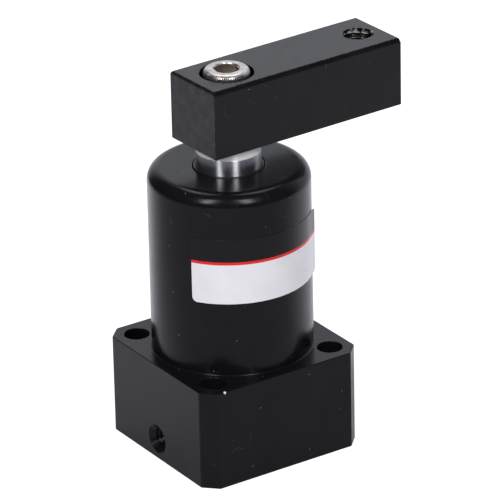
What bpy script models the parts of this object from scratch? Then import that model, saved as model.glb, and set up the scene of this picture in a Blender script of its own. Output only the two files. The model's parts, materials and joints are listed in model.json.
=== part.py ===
"""Rotary clamp cylinder: a double-acting air cylinder whose rod makes a quarter turn on its stroke.

It stands retracted, which is its clamped end. The rod is hollow. Two pins in its neck run in the
helical grooves of a fixed guide shaft, so the arm turns anticlockwise, seen from above, as it rises.
The lower chamber is fed from the left port and the upper one from the right port, through passages
drilled up the wall.

Units are metres and +Z is up. The origin is on the tube's axis, at the base. The arm points along +X.
"""

from math import atan, cos, pi, radians, sin, tan, tau

import bmesh
import bpy
from mathutils import Matrix, Vector

# Clearance between neighbouring pieces, how far a cutter runs past the face that it cuts, and how
# close two corners are merged
GAP = 0.0003
OVERCUT = 0.001
WELD = 0.000002

# Facets round circles of different sizes, and along a rounded shoulder
LARGE_FACETS = 56
MEDIUM_FACETS = 36
RING_FACETS = 28
SMALL_FACETS = 20
PIN_FACETS = 12
SECTION_FACETS = 6
SHOULDER_FACETS = 4

# Motion
STROKE = 0.023
SWING = radians(90)
ARM_YAW = radians(2.1)

# Housing across the axis: bore, seat of the cover, and the air passage inside the tube's wall
BORE_RADIUS = 0.0125
COVER_SEAT_STEP = 0.001
INNER_WEB = 0.0012
PASSAGE_RADIUS = 0.001
OUTER_WEB = 0.0008
TUBE_SHOULDER = 0.003
ROOT_FILLET = 0.0003

# Base block
BLOCK_LEDGE = 0.0025
BLOCK_HEIGHT = 0.0225
BLOCK_CORNER = 0.003
BLOCK_EDGE = 0.0002
MOUNT_HOLE_RADIUS = 0.00275
MOUNT_HOLE_STANDOFF = 0.003713

# Air ports and the drillings behind them
PORT_HEIGHT = 0.0047
PORT_RADIUS = 0.0021
PORT_SINK_RADIUS = 0.0033
PORT_END_WEB = 0.0014
CROSS_DRILL_RADIUS = 0.0009
CROSS_DRILL_ANGLE = radians(30)
RELIEF_HEIGHT = 0.0028
RELIEF_BITE = 0.0004
BALL_RADIUS = 0.00075
BALL_HEIGHT = 0.0013

# Snap ring, cover and their key
RING_SETBACK = 0.0007
RING_THICKNESS = 0.0009
RING_GROOVE_DEPTH = 0.0006
RING_BAND = 0.0019
RING_LUG_RADIUS = 0.0016
RING_LUG_HOLE = 0.0006
RING_OPENING = 0.003
FLANGE_THICKNESS = 0.0044
HUB_HEIGHT = 0.0024
HUB_SETBACK = 0.002
BOSS_RADIUS = 0.0075
COVER_O_RING_SECTION = 0.0005
GROOVE_LAND = 0.0004
KEY_RADIUS = 0.001
KEY_LENGTH = 0.0018

# Twist guide
GUIDE_RADIUS = 0.0037
GUIDE_COLLAR_RADIUS = 0.0065
GUIDE_TAIL_RADIUS = 0.0025
GUIDE_TAIL_LENGTH = 0.0052
GUIDE_OVERRUN = 0.0052
GUIDE_GROOVE_DEPTH = 0.0013
GUIDE_TIP_CHAMFER = 0.0006
GROOVE_STEPS = 18
DOWEL_RADIUS = 0.00075
DOWEL_LENGTH = 0.0034

# Bumpers
REAR_BUMPER_THICKNESS = 0.0016
HEAD_BUMPER_THICKNESS = 0.0016
BUMPER_NOTCH_WIDTH = 0.002
BUMPER_NOTCH_DEPTH = 0.0015
BUMPER_NOTCHES = 4

# Piston
PISTON_SLACK = 0.0005
PISTON_LAND = 0.0009
SEAL_HEIGHT = 0.0022
SEAL_WIDTH = 0.0021
SEAL_LIP_WIDTH = 0.0007
WEAR_RING_HEIGHT = 0.003
WEAR_RING_THICKNESS = 0.0012
WEAR_RING_OPENING = 0.001
PISTON_O_RING_SECTION = 0.0006
PISTON_O_RING_SETBACK = 0.0012
NUT_THICKNESS = 0.0026
NUT_WALL = 0.0022
NUT_SLOT = 0.002
NUT_SLOTS = 4

# Piston rod
ROD_RADIUS = 0.007
NECK_STEP = 0.001
NECK_SETBACK = 0.0004
ROD_BORE_OVERRUN = 0.002
ROD_BEVEL = 0.001
ROD_BEVEL_HEIGHT = 0.0018
TONGUE_WIDTH = 0.0084
TONGUE_HEIGHT = 0.0055
FOLLOWER_RADIUS = 0.001

# Head of the housing, from the bore upwards
BUSH_LENGTH = 0.007
BUSH_WALL = 0.0017
HEAD_WEB = 0.0008
HEAD_WEB_SLACK = 0.0006
ROD_SEAL_HEIGHT = 0.002
ROD_SEAL_WIDTH = 0.0026
WIPER_FOOT_HEIGHT = 0.0013
WIPER_FOOT_WIDTH = 0.002
WIPER_LIP_WIDTH = 0.0007
WIPER_SETBACK = 0.0002
HEAD_LIP = 0.0011
HEAD_EDGE = 0.0002

# Clamp arm and its screw
ARM_CLEARANCE = 0.0058
ARM_WIDTH = 0.016
ARM_HEIGHT = 0.0152
ARM_TAIL = 0.0089
ARM_REACH = 0.0401
ARM_FRONT_BEVEL = 0.0008
ARM_TAIL_BEVEL = 0.0005
ARM_BACK_BEVEL = 0.0003
ARM_EDGE = 0.0002
TIP_HOLE_RADIUS = 0.0034
TIP_HOLE_SETBACK = 0.0055
SCREW_HEAD_RADIUS = 0.005
SCREW_HEAD_HEIGHT = 0.006
SCREW_HEAD_PROUD = 0.001
SCREW_HEAD_CHAMFER = 0.0006
SCREW_SHANK_RADIUS = 0.0027
SCREW_LENGTH = 0.016
SCREW_SEAT_SLACK = 0.0008
SCREW_TAP_OVERRUN = 0.002
SOCKET_FLATS = 0.005
SOCKET_DEPTH = 0.003
SOCKET_TURN = radians(12)

# Label
LABEL_START = radians(-151.4)
LABEL_LENGTH = 0.0355
LABEL_FREE_LENGTH = 0.004
LABEL_HEIGHT = 0.0148
LABEL_LIFT = 0.0169
LABEL_CORNER = 0.0012
LABEL_THICKNESS = 0.00015
LABEL_COLUMNS = 18
LABEL_CORNER_COLUMNS = 3

# Places across the axis
COVER_SEAT_RADIUS = BORE_RADIUS + COVER_SEAT_STEP
PASSAGE_OFFSET = COVER_SEAT_RADIUS + INNER_WEB + PASSAGE_RADIUS
TUBE_RADIUS = PASSAGE_OFFSET + PASSAGE_RADIUS + OUTER_WEB
BLOCK_SIDE = 2 * (TUBE_RADIUS + BLOCK_LEDGE)
MOUNT_HOLE_OFFSET = TUBE_RADIUS + MOUNT_HOLE_STANDOFF
PORT_END = COVER_SEAT_RADIUS + PORT_END_WEB
RELIEF_RADIUS = PASSAGE_OFFSET - PASSAGE_RADIUS + RELIEF_BITE
RING_GROOVE_RADIUS = COVER_SEAT_RADIUS + RING_GROOVE_DEPTH
RING_OUTER = RING_GROOVE_RADIUS - GAP
RING_INNER = RING_OUTER - RING_BAND
FLANGE_RADIUS = COVER_SEAT_RADIUS - GAP
HUB_RADIUS = BORE_RADIUS - HUB_SETBACK
COVER_O_RING_CENTRE = FLANGE_RADIUS - COVER_O_RING_SECTION
DOWEL_OFFSET = (GUIDE_RADIUS + GUIDE_COLLAR_RADIUS) / 2
PISTON_RADIUS = BORE_RADIUS - PISTON_SLACK
RUNNING_RADIUS = BORE_RADIUS - GAP
NECK_RADIUS = ROD_RADIUS - NECK_STEP
PISTON_BORE = NECK_RADIUS + GAP
NUT_RADIUS = NECK_RADIUS + NUT_WALL
ROD_BORE = GUIDE_RADIUS + GAP
FOLLOWER_TIP = GUIDE_RADIUS - GUIDE_GROOVE_DEPTH + GAP
TOP_OF_BEVEL_RADIUS = ROD_RADIUS - ROD_BEVEL
HEAD_WEB_RADIUS = ROD_RADIUS + HEAD_WEB_SLACK
SEALED_ROD = ROD_RADIUS + GAP
BUSH_RADIUS = SEALED_ROD + BUSH_WALL
WIPER_RADIUS = SEALED_ROD + WIPER_LIP_WIDTH
HEAD_MOUTH = WIPER_RADIUS + GAP

# Heights, from the base upwards
RING_BOTTOM = RING_SETBACK + GAP
RING_TOP = RING_BOTTOM + RING_THICKNESS
FLANGE_BOTTOM = RING_TOP + GAP
FLANGE_TOP = FLANGE_BOTTOM + FLANGE_THICKNESS
COVER_SEAT = FLANGE_TOP + GAP
HUB_TOP = FLANGE_TOP + HUB_HEIGHT
COLLAR_BOTTOM = HUB_TOP + GAP
COLLAR_TOP = COLLAR_BOTTOM + REAR_BUMPER_THICKNESS
COVER_O_RING_HEIGHT = FLANGE_TOP - GROOVE_LAND - GAP - COVER_O_RING_SECTION
CROSS_DRILL_HEIGHT = (
    COVER_SEAT
    + (PASSAGE_OFFSET - BORE_RADIUS) * tan(CROSS_DRILL_ANGLE)
    + CROSS_DRILL_RADIUS / cos(CROSS_DRILL_ANGLE)
    + GAP
)
PISTON_BOTTOM = COLLAR_TOP + GAP
NUT_BOTTOM = PISTON_BOTTOM + NECK_SETBACK + GAP
NUT_TOP = NUT_BOTTOM + NUT_THICKNESS
SEAL_GROOVE = SEAL_HEIGHT + 2 * GAP
WEAR_GROOVE = WEAR_RING_HEIGHT + 2 * GAP
LOWER_SEAL_GROOVE = PISTON_BOTTOM + PISTON_LAND
WEAR_RING_GROOVE = LOWER_SEAL_GROOVE + SEAL_GROOVE + PISTON_LAND
UPPER_SEAL_GROOVE = WEAR_RING_GROOVE + WEAR_GROOVE + PISTON_LAND
PISTON_TOP = UPPER_SEAL_GROOVE + SEAL_GROOVE + PISTON_LAND
PISTON_O_RING_HEIGHT = PISTON_TOP - PISTON_O_RING_SETBACK - GAP - PISTON_O_RING_SECTION
FOLLOWER_HEIGHT = (PISTON_BOTTOM + PISTON_TOP) / 2
GUIDE_TOP = FOLLOWER_HEIGHT + STROKE + GUIDE_OVERRUN
HEAD_BUMPER_BOTTOM = PISTON_TOP + STROKE + GAP
HEAD_BOTTOM = HEAD_BUMPER_BOTTOM + HEAD_BUMPER_THICKNESS + GAP
BUSH_SEAT_TOP = HEAD_BOTTOM + BUSH_LENGTH + 2 * GAP
ROD_SEAL_GROOVE = BUSH_SEAT_TOP + HEAD_WEB
ROD_SEAL_GROOVE_TOP = ROD_SEAL_GROOVE + ROD_SEAL_HEIGHT + 2 * GAP
WIPER_GROOVE = ROD_SEAL_GROOVE_TOP + HEAD_WEB
WIPER_GROOVE_TOP = WIPER_GROOVE + WIPER_FOOT_HEIGHT + 2 * GAP
BODY_TOP = WIPER_GROOVE_TOP + HEAD_LIP
ARM_BOTTOM = BODY_TOP + ARM_CLEARANCE
ARM_TOP = ARM_BOTTOM + ARM_HEIGHT
ROD_SHOULDER = ARM_BOTTOM - GAP
TONGUE_TOP = ROD_SHOULDER + TONGUE_HEIGHT
SCREW_TOP = ARM_TOP + SCREW_HEAD_PROUD
SCREW_SEAT = SCREW_TOP - SCREW_HEAD_HEIGHT
SCREW_END = SCREW_SEAT - SCREW_LENGTH
LABEL_BOTTOM = BLOCK_HEIGHT + LABEL_LIFT

# The follower pin climbs the helix at this angle from upright, so the groove is that much wider
HELIX_LEAN = atan(GUIDE_RADIUS * SWING / STROKE)
GROOVE_WIDTH = 2 * (FOLLOWER_RADIUS + GAP) / cos(HELIX_LEAN)


def clear_objects():
    for item in list(bpy.data.objects):
        bpy.data.objects.remove(item, do_unlink=True)


def new_collection(name):
    collection = bpy.data.collections.new(name)
    bpy.context.scene.collection.children.link(collection)
    return collection


def new_material(name, colour, roughness, metallic):
    material = bpy.data.materials.new(name)
    material.use_nodes = True
    shader = material.node_tree.nodes["Principled BSDF"]
    shader.inputs["Base Color"].default_value = (*colour, 1)
    shader.inputs["Roughness"].default_value = roughness
    shader.inputs["Metallic"].default_value = metallic
    material.diffuse_color = (*colour, 1)
    return material


def add_object(name, mesh, collection, parent=None):
    item = bpy.data.objects.new(name, mesh)
    item.parent = parent
    collection.objects.link(item)
    return item


def add_axis(name, turn=0):
    """An empty on the tube's axis that carries the pieces of one moving body."""
    axis = add_object(name, None, PARTS)
    axis.rotation_euler.z = turn
    return axis


def as_cutter(item):
    item.hide_render = True
    item.display_type = "WIRE"
    return item


def mesh_from(name, bm):
    mesh = bpy.data.meshes.new(name)
    bm.to_mesh(mesh)
    bm.free()
    return mesh


def turned(name, profile, facets, collection, parent=None, ring=False):
    """A solid turned about Z from (radius, height) points that run down its outer side.

    A ring's profile is a closed loop. Any other starts and ends on the axis.
    """
    points = [(radius, 0, height) for radius, height in profile]
    edges = [(index, index + 1) for index in range(len(points) - 1)]
    if ring:
        edges.append((len(points) - 1, 0))
    mesh = bpy.data.meshes.new(name)
    mesh.from_pydata(points, edges, [])
    item = add_object(name, mesh, collection, parent)
    screw = item.modifiers.new("Turn", "SCREW")
    screw.steps = facets
    screw.render_steps = facets
    screw.use_merge_vertices = True
    screw.merge_threshold = 0.00001
    return item


def plain_ring(name, inner, outer, bottom, top, facets, collection, parent=None):
    profile = [(inner, top), (outer, top), (outer, bottom), (inner, bottom)]
    return turned(name, profile, facets, collection, parent, ring=True)


def cylinder(name, radius, length, centre, facets, collection, parent=None):
    """A cylinder along Z, to be turned by its rotation where it runs another way."""
    bm = bmesh.new()
    bmesh.ops.create_cone(
        bm, cap_ends=True, segments=facets, radius1=radius, radius2=radius, depth=length
    )
    item = add_object(name, mesh_from(name, bm), collection, parent)
    item.location = centre
    return item


def drill(name, radius, length, centre, facets, parent=None):
    return as_cutter(cylinder(name, radius, length, centre, facets, TOOLS, parent))


def box(size, centre):
    """A box in a new BMesh."""
    bm = bmesh.new()
    bmesh.ops.create_cube(bm, size=1)
    bmesh.ops.scale(bm, vec=Vector(size), verts=bm.verts)
    bmesh.ops.translate(bm, vec=Vector(centre), verts=bm.verts)
    return bm


def box_cutter(name, size, centre, parent=None, turn=0):
    """A box placed as if on the X axis, then turned about the part's axis."""
    item = add_object(name, mesh_from(name, box(size, centre)), TOOLS, parent)
    item.rotation_euler.z = turn
    return as_cutter(item)


def combine(item, other, operation):
    boolean = item.modifiers.new(other.name, "BOOLEAN")
    boolean.operation = operation
    boolean.solver = "EXACT"
    boolean.object = other


def cut(item, *cutters):
    for cutter in cutters:
        combine(item, cutter, "DIFFERENCE")


def join(item, *others):
    for other in others:
        combine(item, as_cutter(other), "UNION")


def weld(mesh):
    """Merges the near-coincident corners that a Boolean leaves."""
    bm = bmesh.new()
    bm.from_mesh(mesh)
    bmesh.ops.remove_doubles(bm, verts=bm.verts, dist=WELD)
    bmesh.ops.dissolve_degenerate(bm, edges=bm.edges, dist=WELD)
    bm.to_mesh(mesh)
    bm.free()


def finish(item, material):
    """Fixes the modifiers' result as the object's mesh, shades it and gives it its material."""
    bpy.context.view_layer.update()
    seen = item.evaluated_get(bpy.context.evaluated_depsgraph_get())
    mesh = bpy.data.meshes.new_from_object(seen)
    weld(mesh)
    item.modifiers.clear()
    item.data = mesh
    mesh.materials.clear()
    mesh.materials.append(material)
    mesh.shade_smooth()
    mesh.set_sharp_from_angle(angle=radians(30))
    return item


def arc(centre_radius, centre_height, radius, start, end, steps):
    """Points of an arc in a turned profile, at angles from the outward direction."""
    turns = [start + (end - start) * step / steps for step in range(steps + 1)]
    return [(centre_radius + radius * cos(a), centre_height + radius * sin(a)) for a in turns]


def spin_angles(count, start=0):
    """The directions of copies evenly spaced round the axis."""
    return [start + tau * index / count for index in range(count)]


def upright_edges(bm):
    return [e for e in bm.edges if abs(e.verts[0].co.z - e.verts[1].co.z) > OVERCUT]


def rim_edges(bm, height):
    return [e for e in bm.edges if all(abs(v.co.z - height) < GAP for v in e.verts)]


def block_blank():
    """The square base with its bevelled corners and broken edges."""
    bm = box((BLOCK_SIDE, BLOCK_SIDE, BLOCK_HEIGHT), (0, 0, BLOCK_HEIGHT / 2))
    bmesh.ops.bevel(bm, geom=upright_edges(bm), offset=BLOCK_CORNER, segments=1, affect="EDGES")
    for height in (0, BLOCK_HEIGHT):
        rim = rim_edges(bm, height)
        bmesh.ops.bevel(bm, geom=rim, offset=BLOCK_EDGE, segments=1, affect="EDGES")
    return mesh_from("housing", bm)


def tube_blank():
    """The outside of the tube, with its rounded shoulder and the fillet at its root."""
    shoulder = arc(
        TUBE_RADIUS - TUBE_SHOULDER, BODY_TOP - TUBE_SHOULDER, TUBE_SHOULDER, pi / 2, 0, SHOULDER_FACETS
    )
    root = [
        (TUBE_RADIUS, BLOCK_HEIGHT + ROOT_FILLET),
        (TUBE_RADIUS + ROOT_FILLET, BLOCK_HEIGHT),
        (TUBE_RADIUS + ROOT_FILLET, BLOCK_HEIGHT / 2),
    ]
    profile = [(0, BODY_TOP), *shoulder, *root, (0, BLOCK_HEIGHT / 2)]
    return turned("tube_blank", profile, LARGE_FACETS, TOOLS)


def bore_cutter():
    """All that is turned inside the housing, from the wiper's mouth down to the base."""
    seat_mouth = COVER_SEAT_RADIUS + HEAD_EDGE
    profile = [
        (0, BODY_TOP + OVERCUT),
        (HEAD_MOUTH + HEAD_EDGE + OVERCUT, BODY_TOP + OVERCUT),
        (HEAD_MOUTH, BODY_TOP - HEAD_EDGE),
        (HEAD_MOUTH, WIPER_GROOVE_TOP),
        (SEALED_ROD + WIPER_FOOT_WIDTH + GAP, WIPER_GROOVE_TOP),
        (SEALED_ROD + WIPER_FOOT_WIDTH + GAP, WIPER_GROOVE),
        (HEAD_WEB_RADIUS, WIPER_GROOVE),
        (HEAD_WEB_RADIUS, ROD_SEAL_GROOVE_TOP),
        (SEALED_ROD + ROD_SEAL_WIDTH + GAP, ROD_SEAL_GROOVE_TOP),
        (SEALED_ROD + ROD_SEAL_WIDTH + GAP, ROD_SEAL_GROOVE),
        (HEAD_WEB_RADIUS, ROD_SEAL_GROOVE),
        (HEAD_WEB_RADIUS, BUSH_SEAT_TOP),
        (BUSH_RADIUS + GAP, BUSH_SEAT_TOP),
        (BUSH_RADIUS + GAP, HEAD_BOTTOM),
        (RELIEF_RADIUS, HEAD_BOTTOM),
        (RELIEF_RADIUS, HEAD_BOTTOM - RELIEF_HEIGHT),
        (BORE_RADIUS, HEAD_BOTTOM - RELIEF_HEIGHT),
        (BORE_RADIUS, COVER_SEAT),
        (COVER_SEAT_RADIUS, COVER_SEAT),
        (COVER_SEAT_RADIUS, FLANGE_BOTTOM),
        (RING_GROOVE_RADIUS, FLANGE_BOTTOM),
        (RING_GROOVE_RADIUS, RING_SETBACK),
        (COVER_SEAT_RADIUS, RING_SETBACK),
        (COVER_SEAT_RADIUS, HEAD_EDGE),
        (seat_mouth + OVERCUT, -OVERCUT),
        (0, -OVERCUT),
    ]
    return as_cutter(turned("bore_cutter", profile, MEDIUM_FACETS, TOOLS))


def mount_hole_cutters():
    length = BLOCK_HEIGHT + 2 * OVERCUT
    for angle in spin_angles(4, pi / 4):
        centre = (MOUNT_HOLE_OFFSET * cos(angle), MOUNT_HOLE_OFFSET * sin(angle), BLOCK_HEIGHT / 2)
        yield drill("mount_hole_cutter", MOUNT_HOLE_RADIUS, length, centre, SMALL_FACETS)


def port_cutter(side):
    """The countersunk port hole in the block's side; side is 1 on the right and -1 on the left."""
    face = BLOCK_SIDE / 2
    sink = PORT_SINK_RADIUS - PORT_RADIUS
    profile = [
        (0, face + OVERCUT),
        (PORT_SINK_RADIUS + OVERCUT, face + OVERCUT),
        (PORT_RADIUS, face - sink),
        (PORT_RADIUS, PORT_END),
        (0, PORT_END),
    ]
    cutter = as_cutter(turned("port_cutter", profile, SMALL_FACETS, TOOLS))
    cutter.rotation_euler.y = side * pi / 2
    cutter.location.z = PORT_HEIGHT
    return cutter


def passage_cutter(side, top):
    """The air passage drilled up the wall from the base."""
    centre = (side * PASSAGE_OFFSET, 0, (top - OVERCUT) / 2)
    return drill("passage_cutter", PASSAGE_RADIUS, top + OVERCUT, centre, PIN_FACETS)


def cross_drill_cutter():
    """The slanted hole from the bore, above the cover's seat, up into the left passage."""
    reach = (PASSAGE_OFFSET - HUB_RADIUS) / cos(CROSS_DRILL_ANGLE)
    start = Vector((-PASSAGE_OFFSET, 0, CROSS_DRILL_HEIGHT))
    inward = Vector((cos(CROSS_DRILL_ANGLE), 0, -sin(CROSS_DRILL_ANGLE)))
    centre = start + inward * reach / 2
    cutter = drill("cross_drill_cutter", CROSS_DRILL_RADIUS, reach, centre, PIN_FACETS)
    cutter.rotation_euler.y = pi / 2 + CROSS_DRILL_ANGLE
    return cutter


def key_hole_cutter():
    """The hole on the joint line of cover and housing, drilled from the base."""
    top = FLANGE_BOTTOM + KEY_LENGTH + GAP
    centre = (0, COVER_SEAT_RADIUS, (top - OVERCUT) / 2)
    return drill("key_hole_cutter", KEY_RADIUS + GAP, top + OVERCUT, centre, SMALL_FACETS)


def build_housing(material, key_hole):
    housing = add_object("housing", block_blank(), PARTS)
    join(housing, tube_blank())
    cut(housing, bore_cutter(), *mount_hole_cutters(), port_cutter(-1), port_cutter(1))
    cut(housing, passage_cutter(-1, CROSS_DRILL_HEIGHT + PASSAGE_RADIUS))
    cut(housing, passage_cutter(1, HEAD_BOTTOM - PASSAGE_RADIUS))
    cut(housing, cross_drill_cutter(), key_hole)
    return finish(housing, material)


def build_passage_balls(material):
    for name, side in (("passage_ball_left", -1), ("passage_ball_right", 1)):
        bm = bmesh.new()
        bmesh.ops.create_icosphere(bm, subdivisions=2, radius=BALL_RADIUS)
        ball = add_object(name, mesh_from(name, bm), PARTS)
        ball.location = (side * PASSAGE_OFFSET, 0, BALL_HEIGHT)
        finish(ball, material)


def build_retaining_ring(material):
    """A snap ring with two eyes for the pliers, its opening to the front."""
    ring = plain_ring(
        "retaining_ring", RING_INNER, RING_OUTER, 0, RING_TOP + OVERCUT, MEDIUM_FACETS, PARTS
    )
    middle = (RING_BOTTOM + RING_TOP) / 2
    depth = RING_THICKNESS + 4 * OVERCUT
    lug_x = (RING_OPENING + RING_LUG_RADIUS) / 2
    lug_y = -(RING_INNER - RING_LUG_RADIUS / 2)
    lug_places = [(side * lug_x, lug_y, middle) for side in (-1, 1)]
    for centre in lug_places:
        join(ring, drill("ring_lug", RING_LUG_RADIUS, depth, centre, SMALL_FACETS))
    opening = (RING_OPENING, 2 * (RING_BAND + RING_LUG_RADIUS), 2 * depth)
    cut(ring, box_cutter("ring_opening", opening, (0, -RING_INNER, middle)))
    for centre in lug_places:
        cut(ring, drill("ring_lug_hole", RING_LUG_HOLE, 2 * depth, centre, PIN_FACETS))
    sheet = box_cutter("ring_sheet", (3 * RING_OUTER, 3 * RING_OUTER, RING_THICKNESS), (0, 0, middle))
    combine(ring, sheet, "INTERSECT")
    return finish(ring, material)


def build_rear_cover(material, key_hole):
    """The cover: a boss flush with the base, a sealed flange, and a hub that carries the guide."""
    groove_floor = COVER_O_RING_CENTRE - COVER_O_RING_SECTION - GAP
    groove_half = COVER_O_RING_SECTION + GAP
    tail_hole = GUIDE_TAIL_RADIUS + GAP
    tail_floor = COLLAR_BOTTOM - GUIDE_TAIL_LENGTH - GAP
    profile = [
        (0, tail_floor),
        (tail_hole, tail_floor),
        (tail_hole, HUB_TOP),
        (HUB_RADIUS, HUB_TOP),
        (HUB_RADIUS, FLANGE_TOP),
        (FLANGE_RADIUS, FLANGE_TOP),
        (FLANGE_RADIUS, COVER_O_RING_HEIGHT + groove_half),
        (groove_floor, COVER_O_RING_HEIGHT + groove_half),
        (groove_floor, COVER_O_RING_HEIGHT - groove_half),
        (FLANGE_RADIUS, COVER_O_RING_HEIGHT - groove_half),
        (FLANGE_RADIUS, FLANGE_BOTTOM),
        (BOSS_RADIUS, FLANGE_BOTTOM),
        (BOSS_RADIUS, HEAD_EDGE),
        (BOSS_RADIUS - HEAD_EDGE, 0),
        (0, 0),
    ]
    cover = turned("rear_cover", profile, MEDIUM_FACETS, PARTS)
    cut(cover, key_hole, dowel_hole_cutter())
    return finish(cover, material)


def o_ring(name, centre_radius, section, height, material, parent=None):
    profile = arc(centre_radius, height, section, pi / 2, pi / 2 - tau, SECTION_FACETS)[:-1]
    return finish(turned(name, profile, RING_FACETS, PARTS, parent, ring=True), material)


def build_cover_key(material):
    centre = (0, COVER_SEAT_RADIUS, FLANGE_BOTTOM + KEY_LENGTH / 2)
    key = cylinder("cover_key", KEY_RADIUS, KEY_LENGTH, centre, PIN_FACETS, PARTS)
    return finish(key, material)


def dowel_hole_cutter():
    """The dowel's hole through the guide's collar into the cover's hub."""
    bottom = COLLAR_TOP - GAP - DOWEL_LENGTH - GAP
    length = COLLAR_TOP + OVERCUT - bottom
    centre = (0, DOWEL_OFFSET, bottom + length / 2)
    return drill("dowel_hole_cutter", DOWEL_RADIUS + GAP, length, centre, PIN_FACETS)


def build_guide_pin(material):
    centre = (0, DOWEL_OFFSET, COLLAR_TOP - GAP - DOWEL_LENGTH / 2)
    pin = cylinder("guide_pin", DOWEL_RADIUS, DOWEL_LENGTH, centre, PIN_FACETS, PARTS)
    return finish(pin, material)


def groove_cutter(start):
    """The path of a follower pin up the guide: a bar twisted about the axis as it rises."""
    floor = GUIDE_RADIUS - GUIDE_GROOVE_DEPTH
    depth = GUIDE_GROOVE_DEPTH + OVERCUT
    centre = (floor + depth / 2, 0, FOLLOWER_HEIGHT + STROKE / 2)
    bm = box((depth, GROOVE_WIDTH, STROKE), centre)
    bmesh.ops.subdivide_edges(
        bm, edges=upright_edges(bm), cuts=GROOVE_STEPS - 1, use_grid_fill=True
    )
    for vertex in bm.verts:
        climb = (vertex.co.z - FOLLOWER_HEIGHT) / STROKE
        vertex.co = Matrix.Rotation(start + SWING * climb, 4, "Z") @ vertex.co
    return as_cutter(add_object("groove_cutter", mesh_from("groove_cutter", bm), TOOLS))


def groove_end_cutter(angle, height):
    """The round end that the milling cutter leaves where the groove stops."""
    floor = GUIDE_RADIUS - GUIDE_GROOVE_DEPTH
    depth = GUIDE_GROOVE_DEPTH + OVERCUT
    reach = floor + depth / 2
    centre = (reach * cos(angle), reach * sin(angle), height)
    cutter = drill("groove_end_cutter", FOLLOWER_RADIUS + GAP, depth, centre, SMALL_FACETS)
    cutter.rotation_euler = (0, pi / 2, angle)
    return cutter


def build_twist_guide(material):
    """The fixed shaft inside the rod, with one helical groove for each follower pin."""
    tail_end = COLLAR_BOTTOM - GUIDE_TAIL_LENGTH
    profile = [
        (0, GUIDE_TOP),
        (GUIDE_RADIUS - GUIDE_TIP_CHAMFER, GUIDE_TOP),
        (GUIDE_RADIUS, GUIDE_TOP - GUIDE_TIP_CHAMFER),
        (GUIDE_RADIUS, COLLAR_TOP),
        (GUIDE_COLLAR_RADIUS, COLLAR_TOP),
        (GUIDE_COLLAR_RADIUS, COLLAR_BOTTOM),
        (GUIDE_TAIL_RADIUS, COLLAR_BOTTOM),
        (GUIDE_TAIL_RADIUS, tail_end),
        (0, tail_end),
    ]
    guide = turned("twist_guide", profile, MEDIUM_FACETS, PARTS)
    for start in (ARM_YAW, ARM_YAW + pi):
        cut(guide, groove_cutter(start))
        cut(guide, groove_end_cutter(start, FOLLOWER_HEIGHT))
        cut(guide, groove_end_cutter(start + SWING, FOLLOWER_HEIGHT + STROKE))
    cut(guide, dowel_hole_cutter())
    return finish(guide, material)


def build_rear_bumper(material):
    inner = GUIDE_COLLAR_RADIUS + GAP
    outer = HUB_RADIUS - GAP
    ring = plain_ring("rear_bumper", inner, outer, COLLAR_BOTTOM, COLLAR_TOP, RING_FACETS, PARTS)
    return finish(ring, material)


def build_head_bumper(material):
    """The upper stop, notched at its rim so that air can pass it."""
    top = HEAD_BUMPER_BOTTOM + HEAD_BUMPER_THICKNESS
    bumper = plain_ring(
        "head_bumper", SEALED_ROD, RUNNING_RADIUS, HEAD_BUMPER_BOTTOM, top, RING_FACETS, PARTS
    )
    size = (2 * BUMPER_NOTCH_DEPTH, BUMPER_NOTCH_WIDTH, HEAD_BUMPER_THICKNESS + OVERCUT)
    centre = (RUNNING_RADIUS, 0, (HEAD_BUMPER_BOTTOM + top) / 2)
    for angle in spin_angles(BUMPER_NOTCHES):
        cut(bumper, box_cutter("bumper_notch_cutter", size, centre, turn=angle))
    return finish(bumper, material)


def build_piston(material):
    seal_floor = RUNNING_RADIUS - SEAL_WIDTH - GAP
    wear_floor = RUNNING_RADIUS - WEAR_RING_THICKNESS - GAP
    o_ring_floor = PISTON_BORE + 2 * PISTON_O_RING_SECTION + GAP
    o_ring_half = PISTON_O_RING_SECTION + GAP
    profile = [
        (PISTON_BORE, PISTON_TOP),
        (PISTON_RADIUS, PISTON_TOP),
        (PISTON_RADIUS, UPPER_SEAL_GROOVE + SEAL_GROOVE),
        (seal_floor, UPPER_SEAL_GROOVE + SEAL_GROOVE),
        (seal_floor, UPPER_SEAL_GROOVE),
        (PISTON_RADIUS, UPPER_SEAL_GROOVE),
        (PISTON_RADIUS, WEAR_RING_GROOVE + WEAR_GROOVE),
        (wear_floor, WEAR_RING_GROOVE + WEAR_GROOVE),
        (wear_floor, WEAR_RING_GROOVE),
        (PISTON_RADIUS, WEAR_RING_GROOVE),
        (PISTON_RADIUS, LOWER_SEAL_GROOVE + SEAL_GROOVE),
        (seal_floor, LOWER_SEAL_GROOVE + SEAL_GROOVE),
        (seal_floor, LOWER_SEAL_GROOVE),
        (PISTON_RADIUS, LOWER_SEAL_GROOVE),
        (PISTON_RADIUS, PISTON_BOTTOM),
        (NUT_RADIUS + GAP, PISTON_BOTTOM),
        (NUT_RADIUS + GAP, NUT_TOP + GAP),
        (PISTON_BORE, NUT_TOP + GAP),
        (PISTON_BORE, PISTON_O_RING_HEIGHT - o_ring_half),
        (o_ring_floor, PISTON_O_RING_HEIGHT - o_ring_half),
        (o_ring_floor, PISTON_O_RING_HEIGHT + o_ring_half),
        (PISTON_BORE, PISTON_O_RING_HEIGHT + o_ring_half),
    ]
    piston = turned("piston", profile, RING_FACETS, PARTS, PISTON_AXIS, ring=True)
    return finish(piston, material)


def lip_seal_profile(inner, outer, closed_end, open_end, lip):
    """A U-shaped seal: its open side, between two lips, faces the pressure."""
    notch = closed_end + (open_end - closed_end) / 3
    middle = (inner + outer) / 2
    return [
        (inner, closed_end),
        (outer, closed_end),
        (outer, open_end),
        (outer - lip, open_end),
        (middle, notch),
        (inner + lip, open_end),
        (inner, open_end),
    ]


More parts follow.
